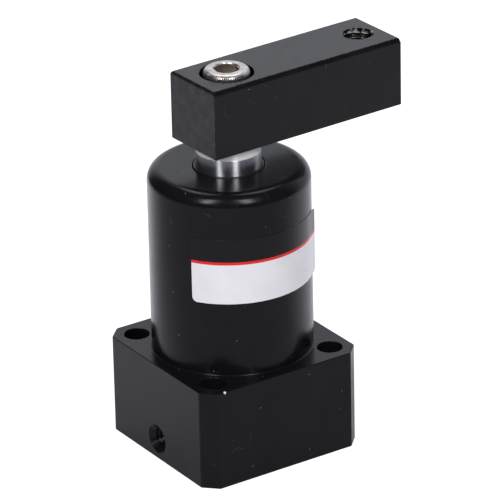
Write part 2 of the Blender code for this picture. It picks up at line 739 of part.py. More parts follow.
def build_piston_seals(material):
    outer = RUNNING_RADIUS
    inner = outer - SEAL_WIDTH
    lower_top = LOWER_SEAL_GROOVE + GAP + SEAL_HEIGHT
    lower = lip_seal_profile(inner, outer, lower_top, lower_top - SEAL_HEIGHT, SEAL_LIP_WIDTH)
    upper_bottom = UPPER_SEAL_GROOVE + GAP
    upper = lip_seal_profile(inner, outer, upper_bottom, upper_bottom + SEAL_HEIGHT, SEAL_LIP_WIDTH)
    upper.reverse()
    for name, profile in (("piston_seal_lower", lower), ("piston_seal_upper", upper)):
        seal = turned(name, profile, RING_FACETS, PARTS, PISTON_AXIS, ring=True)
        finish(seal, material)


def build_wear_ring(material):
    bottom = WEAR_RING_GROOVE + GAP
    top = bottom + WEAR_RING_HEIGHT
    inner = RUNNING_RADIUS - WEAR_RING_THICKNESS
    ring = plain_ring(
        "wear_ring", inner, RUNNING_RADIUS, bottom, top, RING_FACETS, PARTS, PISTON_AXIS
    )
    size = (2 * WEAR_RING_THICKNESS + OVERCUT, WEAR_RING_OPENING, WEAR_RING_HEIGHT + OVERCUT)
    centre = (RUNNING_RADIUS - WEAR_RING_THICKNESS / 2, 0, (bottom + top) / 2)
    cut(ring, box_cutter("wear_ring_opening", size, centre, PISTON_AXIS, turn=pi / 4))
    return finish(ring, material)


def build_piston_nut(material):
    """The slotted ring nut under the piston, for a pin spanner."""
    nut = plain_ring(
        "piston_nut", PISTON_BORE, NUT_RADIUS, NUT_BOTTOM, NUT_TOP, RING_FACETS, PARTS, SWING_AXIS
    )
    size = (NUT_WALL, NUT_SLOT, NUT_THICKNESS)
    centre = (NUT_RADIUS, 0, NUT_BOTTOM)
    for angle in spin_angles(NUT_SLOTS, pi / 4):
        cut(nut, box_cutter("nut_slot_cutter", size, centre, SWING_AXIS, turn=angle))
    return finish(nut, material)


def build_piston_rod(material):
    """The hollow rod: neck for the piston, running surface, bevel, and a tongue for the arm."""
    neck_end = PISTON_BOTTOM + NECK_SETBACK
    tap_radius = SCREW_SHANK_RADIUS + GAP
    tap_floor = SCREW_END - SCREW_TAP_OVERRUN
    profile = [
        (0, tap_floor),
        (tap_radius, tap_floor),
        (tap_radius, TONGUE_TOP),
        (TOP_OF_BEVEL_RADIUS, TONGUE_TOP),
        (TOP_OF_BEVEL_RADIUS, ROD_SHOULDER),
        (ROD_RADIUS, ROD_SHOULDER - ROD_BEVEL_HEIGHT),
        (ROD_RADIUS, PISTON_TOP + GAP),
        (NECK_RADIUS, PISTON_TOP + GAP),
        (NECK_RADIUS, neck_end),
        (ROD_BORE, neck_end),
        (ROD_BORE, GUIDE_TOP + ROD_BORE_OVERRUN),
        (0, GUIDE_TOP + ROD_BORE_OVERRUN),
    ]
    rod = turned("piston_rod", profile, MEDIUM_FACETS, PARTS, SWING_AXIS)
    side = ROD_RADIUS
    size = (2 * ROD_RADIUS, side, TONGUE_HEIGHT + OVERCUT)
    for sign in (-1, 1):
        centre = (0, sign * (TONGUE_WIDTH + side) / 2, ROD_SHOULDER + size[2] / 2)
        cut(rod, box_cutter("tongue_flat_cutter", size, centre, SWING_AXIS))
    centre = (0, 0, FOLLOWER_HEIGHT)
    hole = drill(
        "follower_hole_cutter", FOLLOWER_RADIUS + GAP, 3 * NECK_RADIUS, centre, PIN_FACETS, SWING_AXIS
    )
    hole.rotation_euler.y = pi / 2
    cut(rod, hole)
    return finish(rod, material)


def build_follower_pins(material):
    length = NECK_RADIUS - GAP - FOLLOWER_TIP
    for name, side in (("follower_pin_left", -1), ("follower_pin_right", 1)):
        centre = (side * (FOLLOWER_TIP + length / 2), 0, FOLLOWER_HEIGHT)
        pin = cylinder(name, FOLLOWER_RADIUS, length, centre, PIN_FACETS, PARTS, SWING_AXIS)
        pin.rotation_euler.y = pi / 2
        finish(pin, material)


def build_rod_bush(material):
    bottom = HEAD_BOTTOM + GAP
    top = bottom + BUSH_LENGTH
    profile = [
        (SEALED_ROD, top),
        (BUSH_RADIUS - HEAD_EDGE, top),
        (BUSH_RADIUS, top - HEAD_EDGE),
        (BUSH_RADIUS, bottom),
        (SEALED_ROD, bottom),
    ]
    return finish(turned("rod_bush", profile, RING_FACETS, PARTS, ring=True), material)


def build_rod_seal(material):
    top = ROD_SEAL_GROOVE_TOP - GAP
    outer = SEALED_ROD + ROD_SEAL_WIDTH
    profile = lip_seal_profile(SEALED_ROD, outer, top, top - ROD_SEAL_HEIGHT, SEAL_LIP_WIDTH)
    return finish(turned("rod_seal", profile, RING_FACETS, PARTS, ring=True), material)


def build_rod_wiper(material):
    """The wiper: a foot in its groove, and a rounded lip that stands up in the mouth."""
    foot_bottom = WIPER_GROOVE + GAP
    foot_top = foot_bottom + WIPER_FOOT_HEIGHT
    lip_top = BODY_TOP - WIPER_SETBACK
    round_off = WIPER_LIP_WIDTH / 2
    crown = arc(WIPER_RADIUS - round_off, lip_top - round_off, round_off, pi, 0, SHOULDER_FACETS)
    profile = [
        *crown,
        (WIPER_RADIUS, foot_top),
        (SEALED_ROD + WIPER_FOOT_WIDTH, foot_top),
        (SEALED_ROD + WIPER_FOOT_WIDTH, foot_bottom),
        (SEALED_ROD, foot_bottom),
    ]
    return finish(turned("rod_wiper", profile, MEDIUM_FACETS, PARTS, ring=True), material)


def bevel_side(bm, outward, reach, height, width):
    """Planes off the top edge of one side of a box, which stands this far out, at 45 degrees."""
    inner_line = outward * (reach - width) + Vector((0, 0, height))
    slope = outward + Vector((0, 0, 1))
    whole = [*bm.verts, *bm.edges, *bm.faces]
    cut = bmesh.ops.bisect_plane(
        bm, geom=whole, dist=WELD, plane_co=inner_line, plane_no=slope, clear_outer=True
    )
    rim = [item for item in cut["geom_cut"] if isinstance(item, bmesh.types.BMEdge)]
    bmesh.ops.edgeloop_fill(bm, edges=rim)


def arm_blank():
    """The bar: its top has a wider bevel at each side than at the tip, and the low edges are broken."""
    centre = ((ARM_REACH - ARM_TAIL) / 2, 0, (ARM_BOTTOM + ARM_TOP) / 2)
    bm = box((ARM_TAIL + ARM_REACH, ARM_WIDTH, ARM_HEIGHT), centre)
    low_rim = rim_edges(bm, ARM_BOTTOM)
    bmesh.ops.bevel(bm, geom=low_rim, offset=ARM_EDGE, segments=1, affect="EDGES")
    for outward, reach, width in (
        (Vector((0, -1, 0)), ARM_WIDTH / 2, ARM_FRONT_BEVEL),
        (Vector((-1, 0, 0)), ARM_TAIL, ARM_TAIL_BEVEL),
        (Vector((0, 1, 0)), ARM_WIDTH / 2, ARM_BACK_BEVEL),
        (Vector((1, 0, 0)), ARM_REACH, ARM_EDGE),
    ):
        bevel_side(bm, outward, reach, ARM_TOP, width)
    bmesh.ops.recalc_face_normals(bm, faces=bm.faces)
    return mesh_from("clamp_arm", bm)


def pocket_cutter():
    """The pocket under the arm that takes the rod's tongue."""
    radius = TOP_OF_BEVEL_RADIUS + GAP
    top = TONGUE_TOP + GAP
    length = top - ARM_BOTTOM + OVERCUT
    centre = (0, 0, top - length / 2)
    pocket = drill("pocket_cutter", radius, length, centre, MEDIUM_FACETS, SWING_AXIS)
    size = (4 * radius, radius, 2 * length)
    for sign in (-1, 1):
        offset = sign * ((TONGUE_WIDTH + radius) / 2 + GAP)
        cut(pocket, box_cutter("pocket_flat_cutter", size, (0, offset, centre[2]), SWING_AXIS))
    return pocket


def screw_hole_cutter():
    """The counterbore for the screw's head and the hole for its shank."""
    counterbore = SCREW_HEAD_RADIUS + SCREW_SEAT_SLACK
    shank = SCREW_SHANK_RADIUS + 2 * GAP
    profile = [
        (0, ARM_TOP + OVERCUT),
        (counterbore + HEAD_EDGE + OVERCUT, ARM_TOP + OVERCUT),
        (counterbore, ARM_TOP - HEAD_EDGE),
        (counterbore, SCREW_SEAT - GAP),
        (shank, SCREW_SEAT - GAP),
        (shank, TONGUE_TOP - OVERCUT),
        (0, TONGUE_TOP - OVERCUT),
    ]
    return as_cutter(turned("screw_hole_cutter", profile, MEDIUM_FACETS, TOOLS, SWING_AXIS))


def tip_hole_cutter():
    centre = (ARM_REACH - TIP_HOLE_SETBACK, 0, (ARM_BOTTOM + ARM_TOP) / 2)
    length = ARM_HEIGHT + 2 * OVERCUT
    return drill("tip_hole_cutter", TIP_HOLE_RADIUS, length, centre, RING_FACETS, SWING_AXIS)


def build_clamp_arm(material):
    arm = add_object("clamp_arm", arm_blank(), PARTS, SWING_AXIS)
    cut(arm, screw_hole_cutter(), pocket_cutter(), tip_hole_cutter())
    return finish(arm, material)


def build_arm_screw(material):
    """The cap screw, with its hexagon socket."""
    profile = [
        (0, SCREW_TOP),
        (SCREW_HEAD_RADIUS - SCREW_HEAD_CHAMFER, SCREW_TOP),
        (SCREW_HEAD_RADIUS, SCREW_TOP - SCREW_HEAD_CHAMFER),
        (SCREW_HEAD_RADIUS, SCREW_SEAT),
        (SCREW_SHANK_RADIUS, SCREW_SEAT),
        (SCREW_SHANK_RADIUS, SCREW_END),
        (0, SCREW_END),
    ]
    screw = turned("arm_screw", profile, MEDIUM_FACETS, PARTS, SWING_AXIS)
    corner = SOCKET_FLATS / 2 / cos(pi / 6)
    centre = (0, 0, SCREW_TOP - SOCKET_DEPTH / 2 + OVERCUT / 2)
    socket = drill("socket_cutter", corner, SOCKET_DEPTH + OVERCUT, centre, 6, SWING_AXIS)
    socket.rotation_euler.z = SOCKET_TURN
    cut(screw, socket)
    return finish(screw, material)


def label_columns():
    """Distances along the label, with its lower and upper edge there, corners rounded."""
    corner_turns = [pi / 2 * step / LABEL_CORNER_COLUMNS for step in range(LABEL_CORNER_COLUMNS)]
    rounded = [(LABEL_CORNER * (1 - cos(a)), LABEL_CORNER * (1 - sin(a))) for a in corner_turns]
    straight = LABEL_LENGTH - 2 * LABEL_CORNER
    for along, trim in rounded:
        yield along, trim
    for step in range(LABEL_COLUMNS + 1):
        yield LABEL_CORNER + straight * step / LABEL_COLUMNS, 0
    for along, trim in reversed(rounded):
        yield LABEL_LENGTH - along, trim


def build_label(material):
    """The sticker, bent round the tube, its far end come away straight."""
    bm = bmesh.new()
    radius = TUBE_RADIUS + GAP
    previous = None
    for along, trim in label_columns():
        free = max(0, along - (LABEL_LENGTH - LABEL_FREE_LENGTH))
        angle = LABEL_START + (along - free) / radius
        x = radius * cos(angle) - free * sin(angle)
        y = radius * sin(angle) + free * cos(angle)
        low = bm.verts.new((x, y, LABEL_BOTTOM + trim))
        high = bm.verts.new((x, y, LABEL_BOTTOM + LABEL_HEIGHT - trim))
        if previous:
            bm.faces.new((previous[0], low, high, previous[1]))
        previous = (low, high)
    label = add_object("label", mesh_from("label", bm), PARTS)
    sheet = label.modifiers.new("Thickness", "SOLIDIFY")
    sheet.thickness = LABEL_THICKNESS
    sheet.offset = 1
    return finish(label, material)


clear_objects()
PARTS = new_collection("rotary_clamp_cylinder")
TOOLS = new_collection("cutters")
PISTON_AXIS = add_axis("piston_axis")
SWING_AXIS = add_axis("swing_axis", ARM_YAW)


def build_cylinder():
    anodised = new_material("black_anodised", (0.012, 0.012, 0.014), 0.35, 0.6)
    aluminium = new_material("plain_aluminium", (0.55, 0.56, 0.58), 0.35, 1)
    chrome = new_material("hard_chrome", (0.62, 0.63, 0.66), 0.08, 1)
    stainless = new_material("stainless_steel", (0.56, 0.54, 0.51), 0.28, 1)
    steel = new_material("hardened_steel", (0.36, 0.36, 0.38), 0.3, 1)
    spring_steel = new_material("spring_steel", (0.05, 0.05, 0.055), 0.4, 0.8)
    bronze = new_material("bronze", (0.48, 0.31, 0.13), 0.35, 1)
    rubber = new_material("black_rubber", (0.01, 0.01, 0.01), 0.6, 0)
    nylon = new_material("wear_ring_plastic", (0.07, 0.045, 0.03), 0.5, 0)
    sticker = new_material("printed_film", (0.75, 0.76, 0.8), 0.3, 0)

    key_hole = key_hole_cutter()
    build_housing(anodised, key_hole)
    build_rear_cover(aluminium, key_hole)
    build_cover_key(steel)
    build_retaining_ring(spring_steel)
    build_passage_balls(steel)
    o_ring("cover_o_ring", COVER_O_RING_CENTRE, COVER_O_RING_SECTION, COVER_O_RING_HEIGHT, rubber)
    build_twist_guide(steel)
    build_guide_pin(steel)
    build_rear_bumper(rubber)
    build_head_bumper(rubber)
    build_rod_bush(bronze)
    build_rod_seal(rubber)
    build_rod_wiper(rubber)
    build_label(sticker)

    build_piston(aluminium)
    build_piston_seals(rubber)
    build_wear_ring(nylon)
    inner_ring = PISTON_BORE + PISTON_O_RING_SECTION
    o_ring(
        "piston_o_ring", inner_ring, PISTON_O_RING_SECTION, PISTON_O_RING_HEIGHT, rubber, PISTON_AXIS
    )

    build_piston_rod(chrome)
    build_follower_pins(steel)
    build_piston_nut(steel)
    build_clamp_arm(anodised)
    build_arm_screw(stainless)


build_cylinder()
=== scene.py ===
"""Looks of the rotary clamp cylinder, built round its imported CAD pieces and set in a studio.

The pieces that show are made again with finer curves, broken edges, threads and a knurl, each in
place of its CAD node. The hidden ones keep their CAD meshes. All finishes are procedural.
Lengths are in metres and +Z is up. Materials measure places in millimetres.
"""

import json
from math import ceil, cos, pi, radians, sin, tan, tau

import bmesh
import bpy
from mathutils import Matrix, Vector


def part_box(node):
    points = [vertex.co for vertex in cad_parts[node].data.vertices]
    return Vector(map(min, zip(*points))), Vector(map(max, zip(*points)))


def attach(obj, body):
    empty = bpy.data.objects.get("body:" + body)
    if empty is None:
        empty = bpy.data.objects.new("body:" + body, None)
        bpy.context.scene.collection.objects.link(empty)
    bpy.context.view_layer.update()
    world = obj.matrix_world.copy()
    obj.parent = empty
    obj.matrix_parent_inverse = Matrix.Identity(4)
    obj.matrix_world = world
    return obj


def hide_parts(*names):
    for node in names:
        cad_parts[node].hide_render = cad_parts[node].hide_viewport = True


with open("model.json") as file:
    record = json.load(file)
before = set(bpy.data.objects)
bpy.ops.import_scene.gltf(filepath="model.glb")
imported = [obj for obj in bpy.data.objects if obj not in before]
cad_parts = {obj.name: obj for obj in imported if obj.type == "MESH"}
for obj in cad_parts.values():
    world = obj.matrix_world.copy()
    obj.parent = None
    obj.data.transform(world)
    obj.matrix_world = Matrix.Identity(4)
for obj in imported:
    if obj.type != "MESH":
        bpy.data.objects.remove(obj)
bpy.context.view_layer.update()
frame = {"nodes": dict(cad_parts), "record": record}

# Clearance between neighbouring pieces, how far a cutter runs past the face that it cuts, how
# close two corners are merged, and the angle from which an edge is sharp
GAP = 0.0003
OVERCUT = 0.001
WELD = 0.000002
SHARP_ANGLE = radians(23.5)

# The materials' units: places and sizes in millimetres, and the depth of a bump in micrometres
MILLIMETRES = 1000
MICROMETRE = 0.000001

# Segments round circles of different sizes, along rounded edges, and to a knurl's tooth and a
# thread's turn
LARGE_SEGMENTS = 192
MEDIUM_SEGMENTS = 96
SMALL_SEGMENTS = 48
SHOULDER_SEGMENTS = 18
EDGE_SEGMENTS = 4
CROWN_SEGMENTS = 9
TOOTH_STEPS = 4
THREAD_ROWS = 8

# Heights and widths read from the frame
HOUSING_LOW, HOUSING_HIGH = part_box("housing")
BLOCK_SIDE = HOUSING_HIGH[0] - HOUSING_LOW[0]
BODY_TOP = HOUSING_HIGH[2]
ARM_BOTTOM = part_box("clamp_arm")[0][2]
ARM_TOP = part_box("clamp_arm")[1][2]
ROD_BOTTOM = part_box("piston_rod")[0][2]
TONGUE_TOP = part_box("piston_rod")[1][2]
SCREW_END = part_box("arm_screw")[0][2]
SCREW_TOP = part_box("arm_screw")[1][2]
LABEL_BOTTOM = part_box("label")[0][2]
LABEL_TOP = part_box("label")[1][2]
WIPER_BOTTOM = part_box("rod_wiper")[0][2]
PASSAGE_BALL_LOW, PASSAGE_BALL_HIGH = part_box("passage_ball_right")
PASSAGE_OFFSET = (PASSAGE_BALL_LOW[0] + PASSAGE_BALL_HIGH[0]) / 2
GUIDE_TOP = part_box("twist_guide")[1][2]
PISTON_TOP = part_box("piston")[1][2]

# Housing: tube, base block and its holes
TUBE_RADIUS = 0.0175
TUBE_SHOULDER = 0.003
ROOT_FILLET = 0.0003
BORE_RADIUS = 0.0125
MOUTH_RADIUS = 0.0077
MOUTH_EDGE = 0.0004
BASE_EDGE = 0.00015
HEAD_WEB_RADIUS = 0.0076
BLOCK_HEIGHT = 0.0225
BLOCK_CORNER = 0.003
BLOCK_EDGE = 0.00012
COVER_SEAT = 0.0069
HOLE_EDGE = 0.00012
MOUNT_HOLE_RADIUS = 0.00275
MOUNT_HOLE_OFFSET = 0.015
PASSAGE_RADIUS = 0.001
PORT_HEIGHT = 0.0047
PORT_RADIUS = 0.0021
PORT_SINK_RADIUS = 0.0033
PORT_DEPTH = 0.0051
PORT_PITCH = 0.0008
PORT_THREAD_DEPTH = 0.0004

# Rod, with the bevel and the tongue under the arm, and wiper
ROD_RADIUS = 0.007
NECK_RADIUS = 0.006
ROD_BEVEL_RADIUS = 0.006
ROD_BEVEL_HEIGHT = 0.002
ROD_BORE = 0.004
ROD_BORE_OVERRUN = 0.002
NECK_SETBACK = 0.0003
TAP_RADIUS = 0.003
TAP_OVERRUN = 0.002
TONGUE_WIDTH = 0.0084
TONGUE_SHOULDER = ARM_BOTTOM - GAP
ROD_BEVEL_FOOT = TONGUE_SHOULDER - ROD_BEVEL_HEIGHT
FOLLOWER_HEIGHT = 0.0176
FOLLOWER_HOLE_RADIUS = 0.0013
WIPER_INNER = 0.00704
WIPER_OUTER = 0.00755
WIPER_EDGE = 0.0002
WIPER_LIP = 0.0001
WIPER_FOOT_RADIUS = 0.0093
WIPER_FOOT_HEIGHT = 0.0013

# Clamp arm and its screw
ARM_YAW = radians(2.1)
ARM_WIDTH = 0.016
ARM_TAIL = 0.0089
ARM_REACH = 0.0401
ARM_FRONT_BEVEL = 0.0008
ARM_TAIL_BEVEL = 0.0005
ARM_BACK_BEVEL = 0.0003
ARM_TIP_BEVEL = 0.0002
ARM_EDGE = 0.00008
COUNTERBORE_RADIUS = 0.0058
SCREW_HEAD_HEIGHT = 0.006
SCREW_SEAT = SCREW_TOP - SCREW_HEAD_HEIGHT
SHANK_HOLE_RADIUS = 0.0033
TIP_HOLE_RADIUS = 0.0034
TIP_HOLE_PLACE = 0.0346
TIP_PITCH = 0.00125
TIP_THREAD_DEPTH = 0.0006
TIP_THREAD_START = 0.0014
SCREW_HEAD_RADIUS = 0.005
SCREW_CROWN_RADIUS = 0.0011
SCREW_SHANK_RADIUS = 0.0027
KNURL_TEETH = 66
KNURL_DEPTH = 0.0003
KNURL_FROM = radians(52)
KNURL_FULL = radians(28)
SOCKET_FLATS = 0.005
SOCKET_DEPTH = 0.003
SOCKET_CHAMFER = 0.00012
SOCKET_SLOPE = tan(radians(58))
SOCKET_CONE_SLOPE = tan(radians(31))
SOCKET_TURN = radians(12)

# Label: its place round the tube, and its fields from the bottom up
LABEL_START = radians(-151.4)
LABEL_LENGTH = 0.035
LABEL_CORNER = 0.0012
LABEL_THICKNESS = 0.00006
LABEL_ADHESIVE = 0.00002
LABEL_FREE_LENGTH = 0.004
LABEL_COLUMNS = 90
LABEL_CORNER_COLUMNS = 8
STRIPE_BOTTOM = 0.0484
STRIPE_TOP = 0.04905

# What the materials mark, in millimetres: the housing's chip and rubbed spots, each with its size,
# the arm's front and tail edges (edge wear with a painted edge highlight), hazy back end and tapped
# hole, all before its turn, and the inside of the screw's socket
CHIP = ((-15.3, -19.9, 22.45), 0.36)
RUBBED_SPOTS = (((-18.6, 9.4, 3.4), 0.45), ((-18.7, 7.8, 6.7), 0.4))
ARM_FRONT_LINE = (None, (ARM_FRONT_BEVEL - ARM_WIDTH / 2) * MILLIMETRES, ARM_TOP * MILLIMETRES)
ARM_TAIL_LINE = ((ARM_TAIL_BEVEL - ARM_TAIL) * MILLIMETRES, None, ARM_TOP * MILLIMETRES)
ARM_HAZE_FROM = -8.4
ARM_HAZE_FULL = -8.9
TIP_HOLE_CENTRE = (TIP_HOLE_PLACE * MILLIMETRES, 0, 0)
TIP_CREST_RADIUS = 3.42
SOCKET_FROM = 2.95
SOCKET_FULL = 2.65

# In millimetres, how softly the masks end, how far the label's print wavers, and how far below
# its top the painted highlight along the label's cut edge begins and shows in full
MASK_BLUR = 0.1
PRINT_BLUR = 0.02
PRINT_WAVER = 0.012
EDGE_HIGHLIGHT_FROM = 0.08
EDGE_HIGHLIGHT_FULL = 0.04

# Noise keeps mostly between its low and its high value, and seldom gets past its peak. Two noises
# that shouldn't match are taken this far apart.
NOISE_LOW = 0.3
NOISE_MIDDLE = 0.5
NOISE_HIGH = 0.7
NOISE_PEAK = (0.68, 0.72)
NOISE_APART = 9

# Noise drawn out in no direction, round the axis as by turning, and along X as by milling
EVEN = (1, 1, 1)
TURNED = (0.02, 0.02, 1)
MILLED = (0.03, 1, 1)

# How far a ragged spot's solid core reaches, how much its edge wanders, and how strong hairs show
SPOT_CORE = 0.7
SPOT_WANDER = 1 / 3
HAIR_STRENGTH = 0.25

# Colours of dust and of bare, rubbed or faded places in the black anodising, and of the arm's edges,
# worn and with a painted edge highlight
DUST = (0.2, 0.2, 0.19)
HOUSING_DUST = (0.22, 0.22, 0.21)
BARE_CHIP = (0.8, 0.8, 0.8)
RUBBED = (0.035, 0.035, 0.038)
HAZE = (0.018, 0.018, 0.02)
EDGE_WEAR_AND_HIGHLIGHT = (0.06, 0.06, 0.065)
BARE_CREST = (0.35, 0.35, 0.36)

# Camera, fitted to the photograph's frame, given by its direction from its target
CAMERA_AZIMUTH = radians(-123.4198)
CAMERA_ELEVATION = radians(24.6348)
CAMERA_ROLL = radians(-1.2221)
CAMERA_DISTANCE = 0.948436
CAMERA_TARGET = Vector((0.003205, -0.002639, 0.044046))
CAMERA_LENS = 319.66

# Studio: two softboxes in front and one overhead, given by their directions from the object
SOFTBOX_DISTANCE = 0.9
FRONT_AZIMUTHS = (radians(-157.6), radians(-97))
FRONT_ELEVATION = radians(40.5)
FRONT_SIZE = (0.18, 0.48)
FRONT_POWER = 4.2
TOP_AZIMUTH = radians(56.6)
TOP_ELEVATION = radians(63)
TOP_SIZE = (0.6, 0.36)
TOP_POWER = 3

# The surroundings: the light that they give, and the pale wall and dim room that are mirrored.
# The wall comes in between two headings towards it, and fades out between two elevations.
SOFT_LIGHT = (0.45, 0.45, 0.45)
REAR_WALL = (1.0, 1.02, 1.12)
DARK_ROOM = (0.05, 0.05, 0.062)
WALLWARDS = (0.82, 0.572, 0)
WALL_FROM = 0.45
WALL_FULL = 0.75
DIM_FROM = radians(34)
DIM_BY = radians(56)

# The floor: its own colour, and what is added to it where the camera sees it, and where a surface
# mirrors it in front, in a painted pool of light on the left, and behind, which comes in with heading
# and distance, so that painted shade stays near the object. Last its side, the cells along it, and
# how far it lies below the object.
FLOOR_PAINT = (0.4, 0.405, 0.44)
FLOOR_SEEN = (0.75, 0.75, 0.75)
FLOOR_FRONT = (0.15, 0.155, 0.185)
FLOOR_LIGHT_POOL = (0.46, 0.465, 0.5)
FLOOR_REAR = (0.76, 0.765, 0.82)
LIGHT_POOL_CENTRE = (-0.047, 0.041, 0)
LIGHT_POOL_RADIUS = 0.05
REARWARDS = (0.707, 0.707, 0)
REAR_FULL = 0.5
REAR_NEAR = 0.045
REAR_FAR = 0.075
FLOOR_SIDE = 0.7
FLOOR_CELLS = 8
FLOOR_DROP = 0.000002


def circle(radius, height, segments):
    """Points round the axis, or the one point on it where the radius is 0."""
    if radius == 0:
        return [(0, 0, height)]
    angles = [tau * step / segments for step in range(segments)]
    return [(radius * cos(angle), radius * sin(angle), height) for angle in angles]


def mesh_from(name, bm):
    mesh = bpy.data.meshes.new(name)
    bm.to_mesh(mesh)
    bm.free()
    return mesh


def skin(name, rings, closed=False):
    """A mesh over rings of points, one below another; a ring of one point closes an end."""
    bm = bmesh.new()
    loops = [[bm.verts.new(point) for point in ring] for ring in rings]
    pairs = list(zip(loops, loops[1:]))
    if closed:
        pairs.append((loops[-1], loops[0]))
    for upper, lower in pairs:
        count = max(len(upper), len(lower))
        for step in range(count):
            following = (step + 1) % count
            corners = (
                upper[step % len(upper)],
                lower[step % len(lower)],
                lower[following % len(lower)],
                upper[following % len(upper)],
            )
            distinct = list(dict.fromkeys(corners))
            if len(distinct) > 2:
                bm.faces.new(distinct)
    bmesh.ops.recalc_face_normals(bm, faces=bm.faces)
    return mesh_from(name, bm)


def add_object(name, mesh):
    item = bpy.data.objects.new(name, mesh)
    bpy.context.scene.collection.objects.link(item)
    return item


def turned(name, profile, segments, closed=False):
    """A solid turned about Z from (radius, height) points that run down its outer side."""
    rings = [circle(radius, height, segments) for radius, height in profile]
    return add_object(name, skin(name, rings, closed))


def arc(centre_radius, centre_height, radius, start, end, steps):
    """Points of an arc in a turned profile, at angles from the outward direction."""
    turns = [start + (end - start) * step / steps for step in range(steps + 1)]
    return [(centre_radius + radius * cos(a), centre_height + radius * sin(a)) for a in turns]


def chamfered_drill(name, radius, edge, bottom, top, segments):
    """A hole's cutter along Z that also breaks the edge of both its mouths."""
    profile = [
        (0, top + OVERCUT),
        (radius + edge + OVERCUT, top + OVERCUT),
        (radius, top - edge),
        (radius, bottom + edge),
        (radius + edge + OVERCUT, bottom - OVERCUT),
        (0, bottom - OVERCUT),
    ]
    return turned(name, profile, segments)


def plain_drill(name, radius, bottom, top, segments):
    return turned(name, [(0, top), (radius, top), (radius, bottom), (0, bottom)], segments)


def threaded_drill(name, radius, depth, pitch, bottom, top, run_in, segments):
    """A hole's cutter along Z with a right-hand thread that fades out towards both ends."""
    rows = ceil((top - bottom) / pitch * THREAD_ROWS)
    rings = [[(0, 0, top)]]
    for row in range(rows + 1):
        height = top + (bottom - top) * row / rows
        run = min(top - height, height - bottom) / run_in
        share = min(1, max(0, run - 1))
        ring = []
        for step in range(segments):
            turn = step / segments
            phase = (height / pitch - turn) % 1
            reach = radius + share * depth * (1 - abs(2 * phase - 1))
            ring.append((reach * cos(tau * turn), reach * sin(tau * turn), height))
        rings.append(ring)
    rings.append([(0, 0, bottom)])
    return add_object(name, skin(name, rings))


def box_mesh(name, low, high):
    """A box between two corners, still open to editing."""
    bm = bmesh.new()
    bmesh.ops.create_cube(bm, size=1)
    bmesh.ops.scale(bm, vec=Vector(high) - Vector(low), verts=bm.verts)
    bmesh.ops.translate(bm, vec=(Vector(low) + Vector(high)) / 2, verts=bm.verts)
    return bm


def box_object(name, low, high):
    return add_object(name, mesh_from(name, box_mesh(name, low, high)))


def place(item, matrix):
    """Moves an object's mesh and leaves the object at the origin."""
    item.data.transform(matrix)
    return item


def swung(item):
    """Turns a mesh from the X axis to the arm's direction."""
    return place(item, Matrix.Rotation(ARM_YAW, 4, "Z"))


def evaluated(item):
    """An object's mesh with its modifiers applied."""
    bpy.context.view_layer.update()
    graph = bpy.context.evaluated_depsgraph_get()
    return bpy.data.meshes.new_from_object(item.evaluated_get(graph))


def combine(item, others, operation):
    """Joins other solids to an object, or cuts them out of it, and deletes them."""
    for other in others:
        boolean = item.modifiers.new(other.name, "BOOLEAN")
        boolean.operation = operation
        boolean.solver = "EXACT"
        boolean.object = other
    mesh = evaluated(item)
    item.modifiers.clear()
    item.data = mesh
    for other in others:
        bpy.data.objects.remove(other)
    return item


def weld(mesh):
    """Merges the near-coincident corners that a Boolean leaves."""
    bm = bmesh.new()
    bm.from_mesh(mesh)
    bmesh.ops.remove_doubles(bm, verts=bm.verts, dist=WELD)
    bmesh.ops.dissolve_degenerate(bm, edges=bm.edges, dist=WELD)
    bm.to_mesh(mesh)
    bm.free()


def stand_in(item, material, body, node):
    """Shades a piece, gives it its material, and puts it in the place of its CAD node."""
    weld(item.data)
    item.data.shade_smooth()
    item.data.set_sharp_from_angle(angle=SHARP_ANGLE)
    weighted = item.modifiers.new("Weighted normals", "WEIGHTED_NORMAL")
    weighted.keep_sharp = True
    mesh = evaluated(item)
    item.modifiers.clear()
    item.data = mesh
    mesh.materials.clear()
    mesh.materials.append(material)
    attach(item, body)
    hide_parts(node)


class Graph:
    """The nodes of one material or world."""

    def __init__(self, tree):
        self.tree = tree

    def node(self, kind, inputs, **settings):
        """Adds a node. An input is a value or another node's output."""
        node = self.tree.nodes.new(kind)
        for name, value in settings.items():
            setattr(node, name, value)
        for name, value in inputs.items():
            self.feed(node.inputs[name], value)
        return node

    def feed(self, socket, value):
        """Gives a socket a value, or links it to another node's output."""
        if isinstance(value, bpy.types.NodeSocket):
            self.tree.links.new(value, socket)
        else:
            socket.default_value = value

    def maths(self, operation, first, second=0):
        return self.node("ShaderNodeMath", {0: first, 1: second}, operation=operation).outputs[0]

    def spread(self, value, low, high, to_low=0, to_high=1):
        """Maps a range of values to another, and stops at its ends."""
        ends = {"Value": value, "From Min": low, "From Max": high, "To Min": to_low, "To Max": to_high}
        return self.node("ShaderNodeMapRange", ends).outputs["Result"]

    def blend(self, factor, first, second):
        """Mixes two colours, each of them three numbers or another node's output."""
        colours = [c if isinstance(c, bpy.types.NodeSocket) else (*c, 1) for c in (first, second)]
        inputs = {0: factor, 6: colours[0], 7: colours[1]}
        return self.node("ShaderNodeMix", inputs, data_type="RGBA").outputs[2]

    def by_ray(self, unseen, mirrored, seen):
        """A colour for the light that a surface gives, one for its reflection and one for itself."""
        path = self.node("ShaderNodeLightPath", {}).outputs
        bounced = self.maths("MAXIMUM", path["Is Glossy Ray"], path["Is Transmission Ray"])
        return self.blend(path["Is Camera Ray"], self.blend(bounced, unseen, mirrored), seen)


